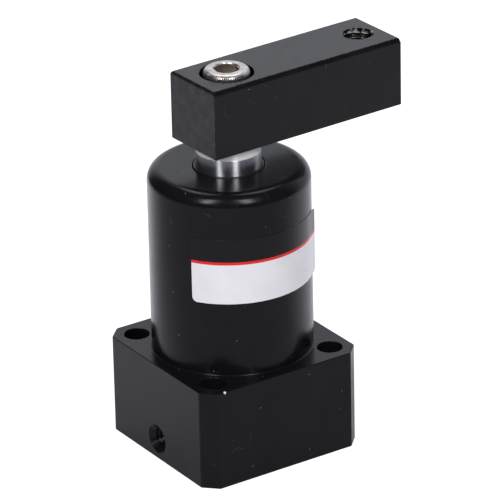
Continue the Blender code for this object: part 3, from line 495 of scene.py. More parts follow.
class Finish(Graph):
    """One procedural material. Its places are in millimetres, turned with the piece."""

    def __init__(self, name, turn=0):
        self.material = bpy.data.materials.new(name)
        self.material.use_nodes = True
        super().__init__(self.material.node_tree)
        self.shader = self.tree.nodes["Principled BSDF"]
        coordinates = self.node("ShaderNodeTexCoord", {})
        mapping = {
            "Vector": coordinates.outputs["Object"],
            "Rotation": (0, 0, -turn),
            "Scale": (MILLIMETRES, MILLIMETRES, MILLIMETRES),
        }
        self.place = self.node("ShaderNodeMapping", mapping).outputs["Vector"]
        self.axes = self.node("ShaderNodeSeparateXYZ", {"Vector": self.place}).outputs

    def set(self, **inputs):
        """Sets the shader's inputs; underscores stand for spaces."""
        for name, value in inputs.items():
            self.feed(self.shader.inputs[name.replace("_", " ")], value)

    def noise(self, scale, detail=2, stretch=EVEN, shift=0):
        """Noise from 0 to 1, with so many waves to a millimetre."""
        mapping = {"Vector": self.place, "Scale": stretch, "Location": (shift, shift, shift)}
        vector = self.node("ShaderNodeMapping", mapping).outputs["Vector"]
        inputs = {"Vector": vector, "Scale": scale, "Detail": detail}
        return self.node("ShaderNodeTexNoise", inputs).outputs["Fac"]

    def cloud(self, scale, detail, low=0, high=1, stretch=EVEN):
        """Noise that reaches from one value to the other."""
        return self.spread(self.noise(scale, detail, stretch), NOISE_LOW, NOISE_HIGH, low, high)

    def mottle(self, first, second, scale, detail):
        """A colour that wanders between two shades."""
        return self.blend(self.cloud(scale, detail), first, second)

    def radius(self):
        """The distance from the piece's axis."""
        across = self.node("ShaderNodeCombineXYZ", {0: self.axes[0], 1: self.axes[1]}).outputs[0]
        return self.node("ShaderNodeVectorMath", {0: across}, operation="LENGTH").outputs["Value"]

    def along_radius(self, scale, detail=2):
        """Rings of noise round the axis, as a lathe tool leaves on a face."""
        vector = self.node("ShaderNodeCombineXYZ", {0: self.radius()}).outputs[0]
        inputs = {"Vector": vector, "Scale": scale, "Detail": detail}
        return self.node("ShaderNodeTexNoise", inputs).outputs["Fac"]

    def specks(self, spacing, size):
        """A mask of small spots, such as dust, with how far apart and how large in millimetres."""
        inputs = {"Vector": self.place, "Scale": 1 / spacing}
        cells = self.node("ShaderNodeTexVoronoi", inputs)
        reach = self.maths("MULTIPLY", cells.outputs["Distance"], spacing)
        tint = self.node("ShaderNodeSeparateColor", {"Color": cells.outputs["Color"]}).outputs[0]
        limit = self.maths("MULTIPLY", tint, size)
        return self.spread(self.maths("SUBTRACT", limit, reach), 0, size / 2)

    def hairs(self, scale, width, shift=0):
        """Fine curved lines: where slow noise passes its middle value, in a few places only."""
        slow = self.maths("SUBTRACT", self.noise(scale, 1, shift=shift), NOISE_MIDDLE)
        line = self.spread(self.maths("ABSOLUTE", slow), width * scale, 0)
        chosen = self.spread(self.noise(scale * 2, 0, shift=shift + NOISE_APART), *NOISE_PEAK)
        return self.maths("MULTIPLY", line, chosen)

    def line(self, edge, width):
        """A mask along a straight edge, given as one value for each axis, or None where it runs."""
        total = 0
        for axis, value in enumerate(edge):
            if value is not None:
                offset = self.maths("SUBTRACT", self.axes[axis], value)
                total = self.maths("ADD", self.maths("MULTIPLY", offset, offset), total)
        return self.spread(total, width ** 2, (width / 2) ** 2)

    def tube(self, centre, radius):
        """A mask of what lies within a radius of an upright axis."""
        across = self.node("ShaderNodeCombineXYZ", {0: self.axes[0], 1: self.axes[1]}).outputs[0]
        inputs = {0: across, 1: centre}
        reach = self.node("ShaderNodeVectorMath", inputs, operation="DISTANCE").outputs["Value"]
        return self.spread(reach, radius + MASK_BLUR, radius)

    def spot(self, centre, size):
        """A mask of one ragged spot round a place in millimetres."""
        inputs = {0: self.place, 1: centre}
        reach = self.node("ShaderNodeVectorMath", inputs, operation="DISTANCE").outputs["Value"]
        wander = size * SPOT_WANDER
        ragged = self.maths("ADD", reach, self.cloud(scale=4, detail=3, low=-wander, high=wander))
        return self.spread(ragged, size, size * SPOT_CORE)

    def bump(self, *layers):
        """Adds up (height, depth in micrometres) layers into the shader's normal."""
        normal = None
        for height, depth in layers:
            inputs = {"Height": height, "Distance": depth * MICROMETRE, "Strength": 1}
            if normal:
                inputs["Normal"] = normal
            normal = self.node("ShaderNodeBump", inputs).outputs["Normal"]
        self.set(Normal=normal)


def anodised_housing():
    """Satin black anodising, turned on the tube, with dust, hairs, a rubbed port and one chip."""
    look = Finish("black_anodised_housing")
    dust = look.specks(spacing=2.1, size=0.16)
    hairs = look.hairs(scale=0.11, width=0.02)
    rubbed = look.maths("MAXIMUM", *[look.spot(*spot) for spot in RUBBED_SPOTS])
    black = look.mottle((0.0036, 0.0034, 0.0046), (0.0050, 0.0048, 0.0060), scale=0.12, detail=3)
    dusty = look.blend(dust, black, HOUSING_DUST)
    lined = look.blend(look.maths("MULTIPLY", hairs, HAIR_STRENGTH), dusty, DUST)
    worn = look.blend(rubbed, lined, RUBBED)
    look.set(Base_Color=look.blend(look.spot(*CHIP), worn, BARE_CHIP), IOR=1.27)
    satin = look.cloud(scale=0.5, detail=4, low=0.19, high=0.26)
    look.set(Roughness=look.maths("ADD", satin, look.maths("MULTIPLY", dust, 0.5)))
    grain = look.noise(scale=5, detail=2)
    turning = look.noise(scale=7, detail=1, stretch=TURNED)
    look.bump((grain, 2), (turning, 0.6), (hairs, 3))
    return look.material


def anodised_arm():
    """The arm's own anodising: milled along its length, with a handled, hazy back end."""
    look = Finish("black_anodised_arm", ARM_YAW)
    dust = look.specks(spacing=2.6, size=0.15)
    hairs = look.hairs(scale=0.13, width=0.02, shift=40)
    handled = look.noise(scale=0.5, detail=4, stretch=(1, 1, 0.8), shift=5)
    back_end = look.spread(look.axes[0], ARM_HAZE_FROM, ARM_HAZE_FULL)
    haze = look.maths("MULTIPLY", back_end, look.spread(handled, 0.4, NOISE_HIGH))
    # Along the top of the front and tail bevels: edge wear together with a painted edge highlight,
    # broken up by noise
    edges = look.maths("MAXIMUM", look.line(ARM_FRONT_LINE, 0.12), look.line(ARM_TAIL_LINE, 0.1))
    worn = look.spread(look.noise(scale=2.5, detail=3), NOISE_MIDDLE, 0.62)
    bare = look.spread(look.noise(scale=0.9, detail=2), NOISE_MIDDLE, 0.62)
    crests = look.maths("MULTIPLY", look.tube(TIP_HOLE_CENTRE, TIP_CREST_RADIUS), bare)
    black = look.mottle((0.0032, 0.0031, 0.0040), (0.0048, 0.0047, 0.0057), scale=0.12, detail=3)
    hazy = look.blend(haze, black, HAZE)
    edge_worn_and_highlit = look.blend(look.maths("MULTIPLY", edges, worn), hazy, EDGE_WEAR_AND_HIGHLIGHT)
    tapped = look.blend(crests, edge_worn_and_highlit, BARE_CREST)
    dusty = look.blend(dust, tapped, DUST)
    look.set(Base_Color=look.blend(look.maths("MULTIPLY", hairs, HAIR_STRENGTH), dusty, DUST))
    look.set(IOR=1.33, Roughness=look.cloud(scale=0.5, detail=4, low=0.2, high=0.3))
    grain = look.noise(scale=5, detail=2)
    milling = look.noise(scale=6, detail=1, stretch=MILLED)
    look.bump((grain, 0.8), (milling, 0.6), (hairs, 3))
    return look.material


def hard_chrome():
    """Ground round and plated, so that highlights run along the rod. Its bevel scatters light."""
    look = Finish("hard_chrome")
    tangent = look.node("ShaderNodeTangent", {}, direction_type="RADIAL", axis="Z")
    look.set(Anisotropic=1, Anisotropic_Rotation=0.25, Tangent=tangent.outputs[0])
    look.set(Specular_Tint=(0.3, 0.3, 0.32, 1))
    foot = ROD_BEVEL_FOOT * MILLIMETRES
    bevel = look.spread(look.axes[2], foot, foot + MASK_BLUR)
    chrome = look.mottle((0.69, 0.70, 0.73), (0.74, 0.75, 0.78), scale=0.4, detail=3)
    look.set(Base_Color=look.blend(bevel, chrome, (0.8, 0.8, 0.82)))
    look.set(Metallic=look.spread(bevel, 0, 1, to_low=1, to_high=0.3))
    ground = look.cloud(scale=1, detail=3, low=0.28, high=0.32, stretch=(0.2, 0.2, 3))
    look.set(Roughness=look.maths("ADD", ground, look.maths("MULTIPLY", bevel, 0.3)))
    look.bump((look.noise(scale=9, detail=1, stretch=TURNED), 0.4))
    return look.material


def stainless_steel():
    """Cold headed and machined stainless steel, tumbled to a soft shine."""
    look = Finish("stainless_steel")
    steel = look.mottle((0.38, 0.365, 0.345), (0.64, 0.62, 0.595), scale=1.4, detail=4)
    spotted = look.blend(look.specks(spacing=0.9, size=0.12), steel, (0.2, 0.17, 0.14))
    inside = look.spread(look.radius(), SOCKET_FROM, SOCKET_FULL)
    look.set(Metallic=1, Base_Color=look.blend(inside, spotted, (0.46, 0.40, 0.36)))
    look.set(Roughness=look.cloud(scale=2.5, detail=4, low=0.26, high=0.4))
    look.bump((look.noise(scale=4, detail=4), 6), (look.along_radius(scale=5), 3))
    return look.material


def turned_aluminium():
    look = Finish("plain_aluminium")
    metal = look.mottle((0.52, 0.53, 0.55), (0.60, 0.61, 0.63), scale=0.3, detail=3)
    look.set(Metallic=1, Base_Color=metal)
    look.set(Roughness=look.cloud(scale=1.5, detail=3, low=0.28, high=0.42))
    turning = look.noise(scale=8, detail=1, stretch=TURNED)
    look.bump((look.along_radius(scale=6), 4), (turning, 2))
    return look.material


def ground_steel():
    look = Finish("hardened_steel")
    metal = look.mottle((0.32, 0.32, 0.34), (0.40, 0.40, 0.42), scale=0.5, detail=3)
    look.set(Metallic=1, Base_Color=metal)
    look.set(Roughness=look.cloud(scale=2, detail=3, low=0.24, high=0.36))
    look.bump((look.noise(scale=9, detail=2, stretch=(0.1, 0.1, 1)), 1))
    return look.material


def blackened_spring_steel():
    look = Finish("spring_steel")
    rubbed = look.spread(look.noise(scale=0.8, detail=4), 0.55, 0.75)
    look.set(Metallic=0.8, Base_Color=look.blend(rubbed, (0.04, 0.04, 0.045), (0.16, 0.16, 0.17)))
    look.set(Roughness=look.cloud(scale=2, detail=3, low=0.35, high=0.5))
    look.bump((look.noise(scale=6, detail=2), 2))
    return look.material


def sintered_bronze():
    """Pressed powder: fine open pores that hold oil."""
    look = Finish("bronze")
    pores = look.specks(spacing=0.22, size=0.11)
    metal = look.mottle((0.44, 0.28, 0.11), (0.52, 0.34, 0.15), scale=0.6, detail=3)
    look.set(Metallic=1, Base_Color=look.blend(pores, metal, (0.10, 0.06, 0.02)))
    look.set(Roughness=look.spread(pores, 0, 1, to_low=0.34, to_high=0.7))
    look.bump((look.maths("SUBTRACT", 1, pores), 10))
    return look.material


def black_rubber():
    """Moulded rubber with a dry, slightly dusty skin."""
    look = Finish("black_rubber")
    bloom = look.spread(look.noise(scale=0.9, detail=4), 0.45, 0.8)
    rubber = look.blend(bloom, (0.006, 0.006, 0.006), (0.014, 0.014, 0.014))
    dusty = look.blend(look.specks(spacing=1.4, size=0.14), rubber, (0.15, 0.15, 0.14))
    look.set(Base_Color=dusty, IOR=1.4)
    look.set(Roughness=look.cloud(scale=3, detail=3, low=0.25, high=0.4))
    look.bump((look.noise(scale=7, detail=3), 4))
    return look.material


def wear_ring_plastic():
    """Filled plastic with short fibres in it."""
    look = Finish("wear_ring_plastic")
    fibres = look.spread(look.noise(scale=3, detail=3, stretch=(1, 1, 4)), NOISE_MIDDLE, 0.75)
    look.set(Base_Color=look.blend(fibres, (0.06, 0.04, 0.026), (0.12, 0.085, 0.06)))
    look.set(Roughness=look.spread(fibres, 0, 1, to_low=0.45, to_high=0.6))
    look.bump((fibres, 3))
    return look.material


def printed_film():
    """A sticker without lettering: a pale field, a thin red stripe and a black field above it."""
    look = Finish("printed_film")
    waver = look.cloud(scale=6, detail=2, low=-PRINT_WAVER, high=PRINT_WAVER)
    height = look.maths("ADD", look.axes[2], waver)

    def above(level, start=-PRINT_BLUR, end=PRINT_BLUR):
        """A mask of what lies above a level, from its start to its end in millimetres off it."""
        return look.spread(height, level * MILLIMETRES + start, level * MILLIMETRES + end)

    pale = look.mottle((0.65, 0.645, 0.675), (0.69, 0.685, 0.715), scale=0.25, detail=3)
    striped = look.blend(above(STRIPE_BOTTOM), pale, (0.62, 0.022, 0.018))
    printed = look.blend(above(STRIPE_TOP), striped, (0.0044, 0.0042, 0.0054))
    # A painted highlight along the label's cut top edge, lighter in patches
    edge_highlight_patches = look.maths("MULTIPLY", look.spread(look.noise(scale=0.12, detail=0), 0.45, 0.6), 0.8)
    cut_edge_highlight = look.maths("MULTIPLY", above(LABEL_TOP, -EDGE_HIGHLIGHT_FROM, -EDGE_HIGHLIGHT_FULL), edge_highlight_patches)
    edge_highlighted = look.blend(cut_edge_highlight, printed, (0.06, 0.06, 0.065))
    dusty = look.blend(look.specks(spacing=2.2, size=0.13), edge_highlighted, (0.1, 0.1, 0.1))
    look.set(Base_Color=dusty, IOR=1.3)
    look.set(Roughness=look.cloud(scale=1.2, detail=3, low=0.2, high=0.28))
    look.bump((look.noise(scale=0.45, detail=2), 6), (look.noise(scale=6, detail=2), 0.6))
    return look.material


def block_blank():
    """The square base with bevelled corners and a small radius on every edge."""
    half = BLOCK_SIDE / 2
    bm = box_mesh("block", (-half, -half, 0), (half, half, BLOCK_HEIGHT))
    upright = [e for e in bm.edges if abs(e.verts[0].co.z - e.verts[1].co.z) > OVERCUT]
    bmesh.ops.bevel(bm, geom=upright, offset=BLOCK_CORNER, segments=1, affect="EDGES")
    bmesh.ops.bevel(bm, geom=bm.edges[:], offset=BLOCK_EDGE, segments=EDGE_SEGMENTS, affect="EDGES")
    return add_object("housing_look", mesh_from("housing_look", bm))


def tube_blank():
    """The outside of the tube: rounded shoulder, straight wall and a fillet at its root."""
    flat = TUBE_RADIUS - TUBE_SHOULDER
    wide = TUBE_RADIUS + ROOT_FILLET
    foot = BLOCK_HEIGHT / 2
    shoulder = arc(flat, BODY_TOP - TUBE_SHOULDER, TUBE_SHOULDER, pi / 2, 0, SHOULDER_SEGMENTS)
    root = arc(wide, BLOCK_HEIGHT + ROOT_FILLET, ROOT_FILLET, pi, 1.5 * pi, EDGE_SEGMENTS)
    profile = [(0, BODY_TOP), *shoulder, *root, (wide, foot), (0, foot)]
    return turned("tube_blank", profile, LARGE_SEGMENTS)


def room(node):
    """The radius, bottom and top of the recess that a turned piece sits in, one gap clear of it."""
    low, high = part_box(node)
    return high[0] + GAP, low[2] - GAP, high[2] + GAP


def bore_cutter():
    """All that is turned inside the housing, from the wiper's mouth down to the base."""
    wiper_radius, wiper_bottom, _ = room("rod_wiper")
    wiper_top = WIPER_BOTTOM + WIPER_FOOT_HEIGHT + GAP
    seal_radius, seal_bottom, seal_top = room("rod_seal")
    bush_radius, head_bottom, bush_top = room("rod_bush")
    cover_radius, _, _ = room("rear_cover")
    ring_radius, ring_bottom, ring_top = room("retaining_ring")
    # The mouth's rounding starts a little above the top face, so that it cuts through the face
    mouth_height = BODY_TOP - MOUTH_EDGE + 2 * WELD
    mouth = arc(MOUTH_RADIUS + MOUTH_EDGE, mouth_height, MOUTH_EDGE, pi / 2, pi, EDGE_SEGMENTS)
    profile = [
        (0, BODY_TOP + OVERCUT),
        (MOUTH_RADIUS + MOUTH_EDGE, BODY_TOP + OVERCUT),
        *mouth,
        (MOUTH_RADIUS, wiper_top),
        (wiper_radius, wiper_top),
        (wiper_radius, wiper_bottom),
        (HEAD_WEB_RADIUS, wiper_bottom),
        (HEAD_WEB_RADIUS, seal_top),
        (seal_radius, seal_top),
        (seal_radius, seal_bottom),
        (HEAD_WEB_RADIUS, seal_bottom),
        (HEAD_WEB_RADIUS, bush_top),
        (bush_radius, bush_top),
        (bush_radius, head_bottom),
        (BORE_RADIUS, head_bottom),
        (BORE_RADIUS, COVER_SEAT),
        (cover_radius, COVER_SEAT),
        (cover_radius, ring_top),
        (ring_radius, ring_top),
        (ring_radius, ring_bottom),
        (cover_radius, ring_bottom),
        (cover_radius, BASE_EDGE),
        (cover_radius + BASE_EDGE + OVERCUT, -OVERCUT),
        (0, -OVERCUT),
    ]
    return turned("bore_cutter", profile, MEDIUM_SEGMENTS)


def port_cutters(side):
    """The countersunk and threaded port in the block's side; 1 is the right side, -1 the left."""
    face = BLOCK_SIDE / 2
    sink = PORT_SINK_RADIUS - PORT_RADIUS
    floor = face - PORT_DEPTH
    mouth_profile = [
        (0, face + OVERCUT),
        (PORT_SINK_RADIUS + OVERCUT, face + OVERCUT),
        (PORT_RADIUS, face - sink),
        (0, face - sink),
    ]
    mouth = turned("port_mouth_cutter", mouth_profile, SMALL_SEGMENTS)
    thread = threaded_drill(
        "port_thread_cutter",
        PORT_RADIUS,
        PORT_THREAD_DEPTH,
        PORT_PITCH,
        floor,
        face - sink / 2,
        PORT_PITCH / 2,
        SMALL_SEGMENTS,
    )
    tip_profile = [(0, floor + GAP), (PORT_RADIUS, floor + GAP), (PORT_RADIUS, floor), (0, floor - GAP)]
    tip = turned("port_tip_cutter", tip_profile, SMALL_SEGMENTS)
    turn = Matrix.Translation((0, 0, PORT_HEIGHT)) @ Matrix.Rotation(side * pi / 2, 4, "Y")
    return [place(cutter, turn) for cutter in (mouth, thread, tip)]


def mount_hole_cutter(x_side, y_side):
    hole = chamfered_drill(
        "mount_hole_cutter", MOUNT_HOLE_RADIUS, HOLE_EDGE, 0, BLOCK_HEIGHT, SMALL_SEGMENTS
    )
    spot = (x_side * MOUNT_HOLE_OFFSET, y_side * MOUNT_HOLE_OFFSET, 0)
    return place(hole, Matrix.Translation(spot))


def passage_cutter(side):
    """The air passage beside the bore, drilled from the base."""
    height = BLOCK_HEIGHT / 2
    passage = plain_drill("passage_cutter", PASSAGE_RADIUS, -OVERCUT, height, SMALL_SEGMENTS)
    return place(passage, Matrix.Translation((side * PASSAGE_OFFSET, 0, 0)))


def make_housing(material):
    housing = block_blank()
    combine(housing, [tube_blank()], "UNION")
    cutters = [bore_cutter()]
    for side in (-1, 1):
        cutters.extend([mount_hole_cutter(side, -1), mount_hole_cutter(side, 1)])
        cutters.extend(port_cutters(side))
        cutters.append(passage_cutter(side))
    combine(housing, cutters, "DIFFERENCE")
    stand_in(housing, material, "housing", "housing")


def make_wiper(material):
    """The scraper: a foot held in its groove, and a collar that stands in the mouth round the rod."""
    edge_height = BODY_TOP + WIPER_LIP - WIPER_EDGE
    inner_edge = arc(WIPER_INNER + WIPER_EDGE, edge_height, WIPER_EDGE, pi, pi / 2, EDGE_SEGMENTS)
    outer_edge = arc(WIPER_OUTER - WIPER_EDGE, edge_height, WIPER_EDGE, pi / 2, 0, EDGE_SEGMENTS)
    foot_top = WIPER_BOTTOM + WIPER_FOOT_HEIGHT
    profile = [
        *inner_edge,
        *outer_edge,
        (WIPER_OUTER, foot_top),
        (WIPER_FOOT_RADIUS, foot_top),
        (WIPER_FOOT_RADIUS, WIPER_BOTTOM),
        (WIPER_INNER, WIPER_BOTTOM),
    ]
    wiper = turned("rod_wiper_look", profile, MEDIUM_SEGMENTS, closed=True)
    stand_in(wiper, material, "housing", "rod_wiper")


def make_rod(material):
    """The hollow rod, with the tongue that the arm sits on."""
    tap_floor = SCREW_END - TAP_OVERRUN
    bore_top = GUIDE_TOP + ROD_BORE_OVERRUN
    profile = [
        (0, tap_floor),
        (TAP_RADIUS, tap_floor),
        (TAP_RADIUS, TONGUE_TOP),
        (ROD_BEVEL_RADIUS, TONGUE_TOP),
        (ROD_BEVEL_RADIUS, TONGUE_SHOULDER),
        (ROD_RADIUS, ROD_BEVEL_FOOT),
        (ROD_RADIUS, PISTON_TOP + NECK_SETBACK),
        (NECK_RADIUS, PISTON_TOP + NECK_SETBACK),
        (NECK_RADIUS, ROD_BOTTOM),
        (ROD_BORE, ROD_BOTTOM),
        (ROD_BORE, bore_top),
        (0, bore_top),
    ]
    rod = turned("piston_rod_look", profile, MEDIUM_SEGMENTS)
    cutters = []
    for side in (-1, 1):
        near = side * TONGUE_WIDTH / 2
        far = side * 2 * ROD_RADIUS
        low = (-2 * ROD_RADIUS, min(near, far), TONGUE_SHOULDER)
        high = (2 * ROD_RADIUS, max(near, far), TONGUE_TOP + OVERCUT)
        cutters.append(box_object("tongue_flat_cutter", low, high))
    pin_hole = plain_drill(
        "follower_hole_cutter", FOLLOWER_HOLE_RADIUS, -2 * NECK_RADIUS, 2 * NECK_RADIUS, SMALL_SEGMENTS
    )
    across = Matrix.Translation((0, 0, FOLLOWER_HEIGHT)) @ Matrix.Rotation(pi / 2, 4, "Y")
    cutters.append(place(pin_hole, across))
    combine(rod, cutters, "DIFFERENCE")
    stand_in(swung(rod), material, "rod", "piston_rod")


def bevel_side(bm, outward, reach, height, width):
    """Planes off the top edge of one side of a box, which stands this far out, at 45 degrees."""
    inner_line = outward * (reach - width) + Vector((0, 0, height))
    slope = outward + Vector((0, 0, 1))
    whole = [*bm.verts, *bm.edges, *bm.faces]
    cut = bmesh.ops.bisect_plane(
        bm, geom=whole, dist=WELD, plane_co=inner_line, plane_no=slope, clear_outer=True
    )
    rim = [item for item in cut["geom_cut"] if isinstance(item, bmesh.types.BMEdge)]
    bmesh.ops.edgeloop_fill(bm, edges=rim)


def arm_blank():
    """The bar, with a bevel of its own along each top edge and a small radius on every edge."""
    low = (-ARM_TAIL, -ARM_WIDTH / 2, ARM_BOTTOM)
    high = (ARM_REACH, ARM_WIDTH / 2, ARM_TOP)
    bm = box_mesh("arm", low, high)
    for outward, reach, width in (
        (Vector((0, -1, 0)), ARM_WIDTH / 2, ARM_FRONT_BEVEL),
        (Vector((-1, 0, 0)), ARM_TAIL, ARM_TAIL_BEVEL),
        (Vector((0, 1, 0)), ARM_WIDTH / 2, ARM_BACK_BEVEL),
        (Vector((1, 0, 0)), ARM_REACH, ARM_TIP_BEVEL),
    ):
        bevel_side(bm, outward, reach, ARM_TOP, width)
    bmesh.ops.recalc_face_normals(bm, faces=bm.faces)
    bmesh.ops.bevel(bm, geom=bm.edges[:], offset=ARM_EDGE, segments=EDGE_SEGMENTS, affect="EDGES")
    return add_object("clamp_arm_look", mesh_from("clamp_arm_look", bm))


def pocket_cutter():
    """The pocket under the arm that takes the rod's tongue."""
    radius = ROD_BEVEL_RADIUS + GAP
    pocket = plain_drill(
        "pocket_cutter", radius, ARM_BOTTOM - OVERCUT, TONGUE_TOP + GAP, MEDIUM_SEGMENTS
    )
    half = TONGUE_WIDTH / 2 + GAP
    slot = box_object(
        "pocket_slot", (-2 * radius, -half, ARM_BOTTOM - 2 * OVERCUT), (2 * radius, half, ARM_TOP)
    )
    return combine(pocket, [slot], "INTERSECT")


def make_arm(material):
    arm = arm_blank()
    counterbore_profile = [
        (0, ARM_TOP + OVERCUT),
        (COUNTERBORE_RADIUS + HOLE_EDGE + OVERCUT, ARM_TOP + OVERCUT),
        (COUNTERBORE_RADIUS, ARM_TOP - HOLE_EDGE),
        (COUNTERBORE_RADIUS, SCREW_SEAT - GAP),
        (SHANK_HOLE_RADIUS, SCREW_SEAT - GAP),
        (SHANK_HOLE_RADIUS, TONGUE_TOP - OVERCUT),
        (0, TONGUE_TOP - OVERCUT),
    ]
    counterbore = turned("counterbore_cutter", counterbore_profile, MEDIUM_SEGMENTS)
    tip_hole = threaded_drill(
        "tip_hole_cutter",
        TIP_HOLE_RADIUS,
        TIP_THREAD_DEPTH,
        TIP_PITCH,
        ARM_BOTTOM - OVERCUT,
        ARM_TOP + OVERCUT,
        TIP_THREAD_START,
        SMALL_SEGMENTS,
    )
    place(tip_hole, Matrix.Translation((TIP_HOLE_PLACE, 0, 0)))
    combine(arm, [counterbore, pocket_cutter(), tip_hole], "DIFFERENCE")
    stand_in(swung(arm), material, "rod", "clamp_arm")


def knurled_ring(radius, height, share):
    """A ring of the screw's head with a notch between its teeth, cut to a share of its depth."""
    ring = []
    steps = TOOTH_STEPS * KNURL_TEETH
    for step in range(steps):
        angle = tau * step / steps
        notch = share * KNURL_DEPTH if step % TOOTH_STEPS == 0 else 0
        reach = radius - notch
        ring.append((reach * cos(angle), reach * sin(angle), height))
    return ring


def socket_cutters():
    """The hexagon socket, its bevelled mouth and the cone at its floor."""
    corner = SOCKET_FLATS / 2 / cos(pi / 6)
    floor = SCREW_TOP - SOCKET_DEPTH
    hexagon = plain_drill("socket_cutter", corner, floor, SCREW_TOP + OVERCUT, 6)
    cone_depth = SOCKET_FLATS / 2 * SOCKET_CONE_SLOPE
    cone = turned(
        "socket_cone_cutter",
        [
            (0, floor + GAP),
            (SOCKET_FLATS / 2, floor + GAP),
            (SOCKET_FLATS / 2, floor),
            (0, floor - cone_depth),
        ],
        SMALL_SEGMENTS,
    )
    mouth_floor = SCREW_TOP - SOCKET_CHAMFER * SOCKET_SLOPE
    mouth = turned(
        "socket_mouth_cutter",
        [
            (0, SCREW_TOP + OVERCUT),
            (corner + OVERCUT / SOCKET_SLOPE, SCREW_TOP + OVERCUT),
            (corner - SOCKET_CHAMFER, mouth_floor),
            (0, mouth_floor),
        ],
        MEDIUM_SEGMENTS,
    )
    turn = Matrix.Rotation(SOCKET_TURN, 4, "Z")
    return [place(cutter, turn) for cutter in (hexagon, cone, mouth)]


def make_screw(material):
    """The socket head cap screw, its head knurled from the crown's edge down."""
    steps = TOOTH_STEPS * KNURL_TEETH
    flat = SCREW_HEAD_RADIUS - SCREW_CROWN_RADIUS
    foot = SCREW_TOP - SCREW_CROWN_RADIUS
    rings = [circle(0, SCREW_TOP, steps)]
    for step in range(CROWN_SEGMENTS + 1):
        angle = pi / 2 * (1 - step / CROWN_SEGMENTS)
        share = min(1, max(0, (KNURL_FROM - angle) / (KNURL_FROM - KNURL_FULL)))
        radius = flat + SCREW_CROWN_RADIUS * cos(angle)
        rings.append(knurled_ring(radius, foot + SCREW_CROWN_RADIUS * sin(angle), share))
    rings.append(knurled_ring(SCREW_HEAD_RADIUS, SCREW_SEAT + 2 * KNURL_DEPTH, 1))
    rings.append(circle(SCREW_HEAD_RADIUS - 2 * KNURL_DEPTH, SCREW_SEAT, steps))
    rings.append(circle(SCREW_SHANK_RADIUS, SCREW_SEAT, steps))
    rings.append(circle(SCREW_SHANK_RADIUS, SCREW_END, steps))
    rings.append(circle(0, SCREW_END, steps))
    screw = add_object("arm_screw_look", skin("arm_screw_look", rings))
    combine(screw, socket_cutters(), "DIFFERENCE")
    stand_in(swung(screw), material, "rod", "arm_screw")


def label_columns():
    """Distances along the label, each with what the rounded corners take off its edges there."""
    turns = [pi / 2 * step / LABEL_CORNER_COLUMNS for step in range(LABEL_CORNER_COLUMNS)]
    rounded = [(LABEL_CORNER * (1 - cos(a)), LABEL_CORNER * (1 - sin(a))) for a in turns]
    straight = LABEL_LENGTH - 2 * LABEL_CORNER
    yield from rounded
    for step in range(LABEL_COLUMNS + 1):
        yield LABEL_CORNER + straight * step / LABEL_COLUMNS, 0
    for along, trim in reversed(rounded):
        yield LABEL_LENGTH - along, trim


def make_label(material):
    """The sticker, bent round the tube, its far end coming away straight."""
    bm = bmesh.new()
    radius = TUBE_RADIUS + LABEL_ADHESIVE
    previous = None
    for along, trim in label_columns():
        free = max(0, along - (LABEL_LENGTH - LABEL_FREE_LENGTH))
        angle = LABEL_START + (along - free) / radius
        x = radius * cos(angle) - free * sin(angle)
        y = radius * sin(angle) + free * cos(angle)
        low = bm.verts.new((x, y, LABEL_BOTTOM + trim))
        high = bm.verts.new((x, y, LABEL_TOP - trim))
        if previous:
            bm.faces.new((previous[0], low, high, previous[1]))
        previous = (low, high)
    label = add_object("label_look", mesh_from("label_look", bm))
    sheet = label.modifiers.new("Thickness", "SOLIDIFY")
    sheet.thickness = LABEL_THICKNESS
    sheet.offset = 1
    label.data = evaluated(label)
    label.modifiers.clear()
    stand_in(label, material, "housing", "label")


def dress_hidden_nodes(materials, replaced):
    """Gives every CAD node that stays its procedural material."""
    for subpart in frame["record"]["subparts"]:
        name = subpart["node"]
        if name in replaced:
            continue
        for slot in frame["nodes"][name].material_slots:
            slot.material = materials[subpart["material_slot"]]


def heading(graph, point, towards):
    """How far a point lies in a direction from the object: 1 straight that way, -1 opposite."""
    direction = graph.node("ShaderNodeVectorMath", {0: point}, operation="NORMALIZE").outputs[0]
    inputs = {0: direction, 1: towards}
    return graph.node("ShaderNodeVectorMath", inputs, operation="DOT_PRODUCT").outputs["Value"]


def make_world():
    """White where it is seen. What is mirrored is a pale wall behind and a dim room elsewhere."""
    world = bpy.data.worlds.new("studio")
    bpy.context.scene.world = world
    world.use_nodes = True
    graph = Graph(world.node_tree)
    direction = graph.node("ShaderNodeTexCoord", {}).outputs["Generated"]
    upward = graph.node("ShaderNodeSeparateXYZ", {"Vector": direction}).outputs["Z"]
    wall = graph.spread(heading(graph, direction, WALLWARDS), WALL_FROM, WALL_FULL)
    below = graph.spread(upward, sin(DIM_BY), sin(DIM_FROM))
    mirrored = graph.blend(graph.maths("MULTIPLY", wall, below), DARK_ROOM, REAR_WALL)
    colour = graph.by_ray(SOFT_LIGHT, mirrored, (1, 1, 1))
    graph.feed(world.node_tree.nodes["Background"].inputs["Color"], colour)


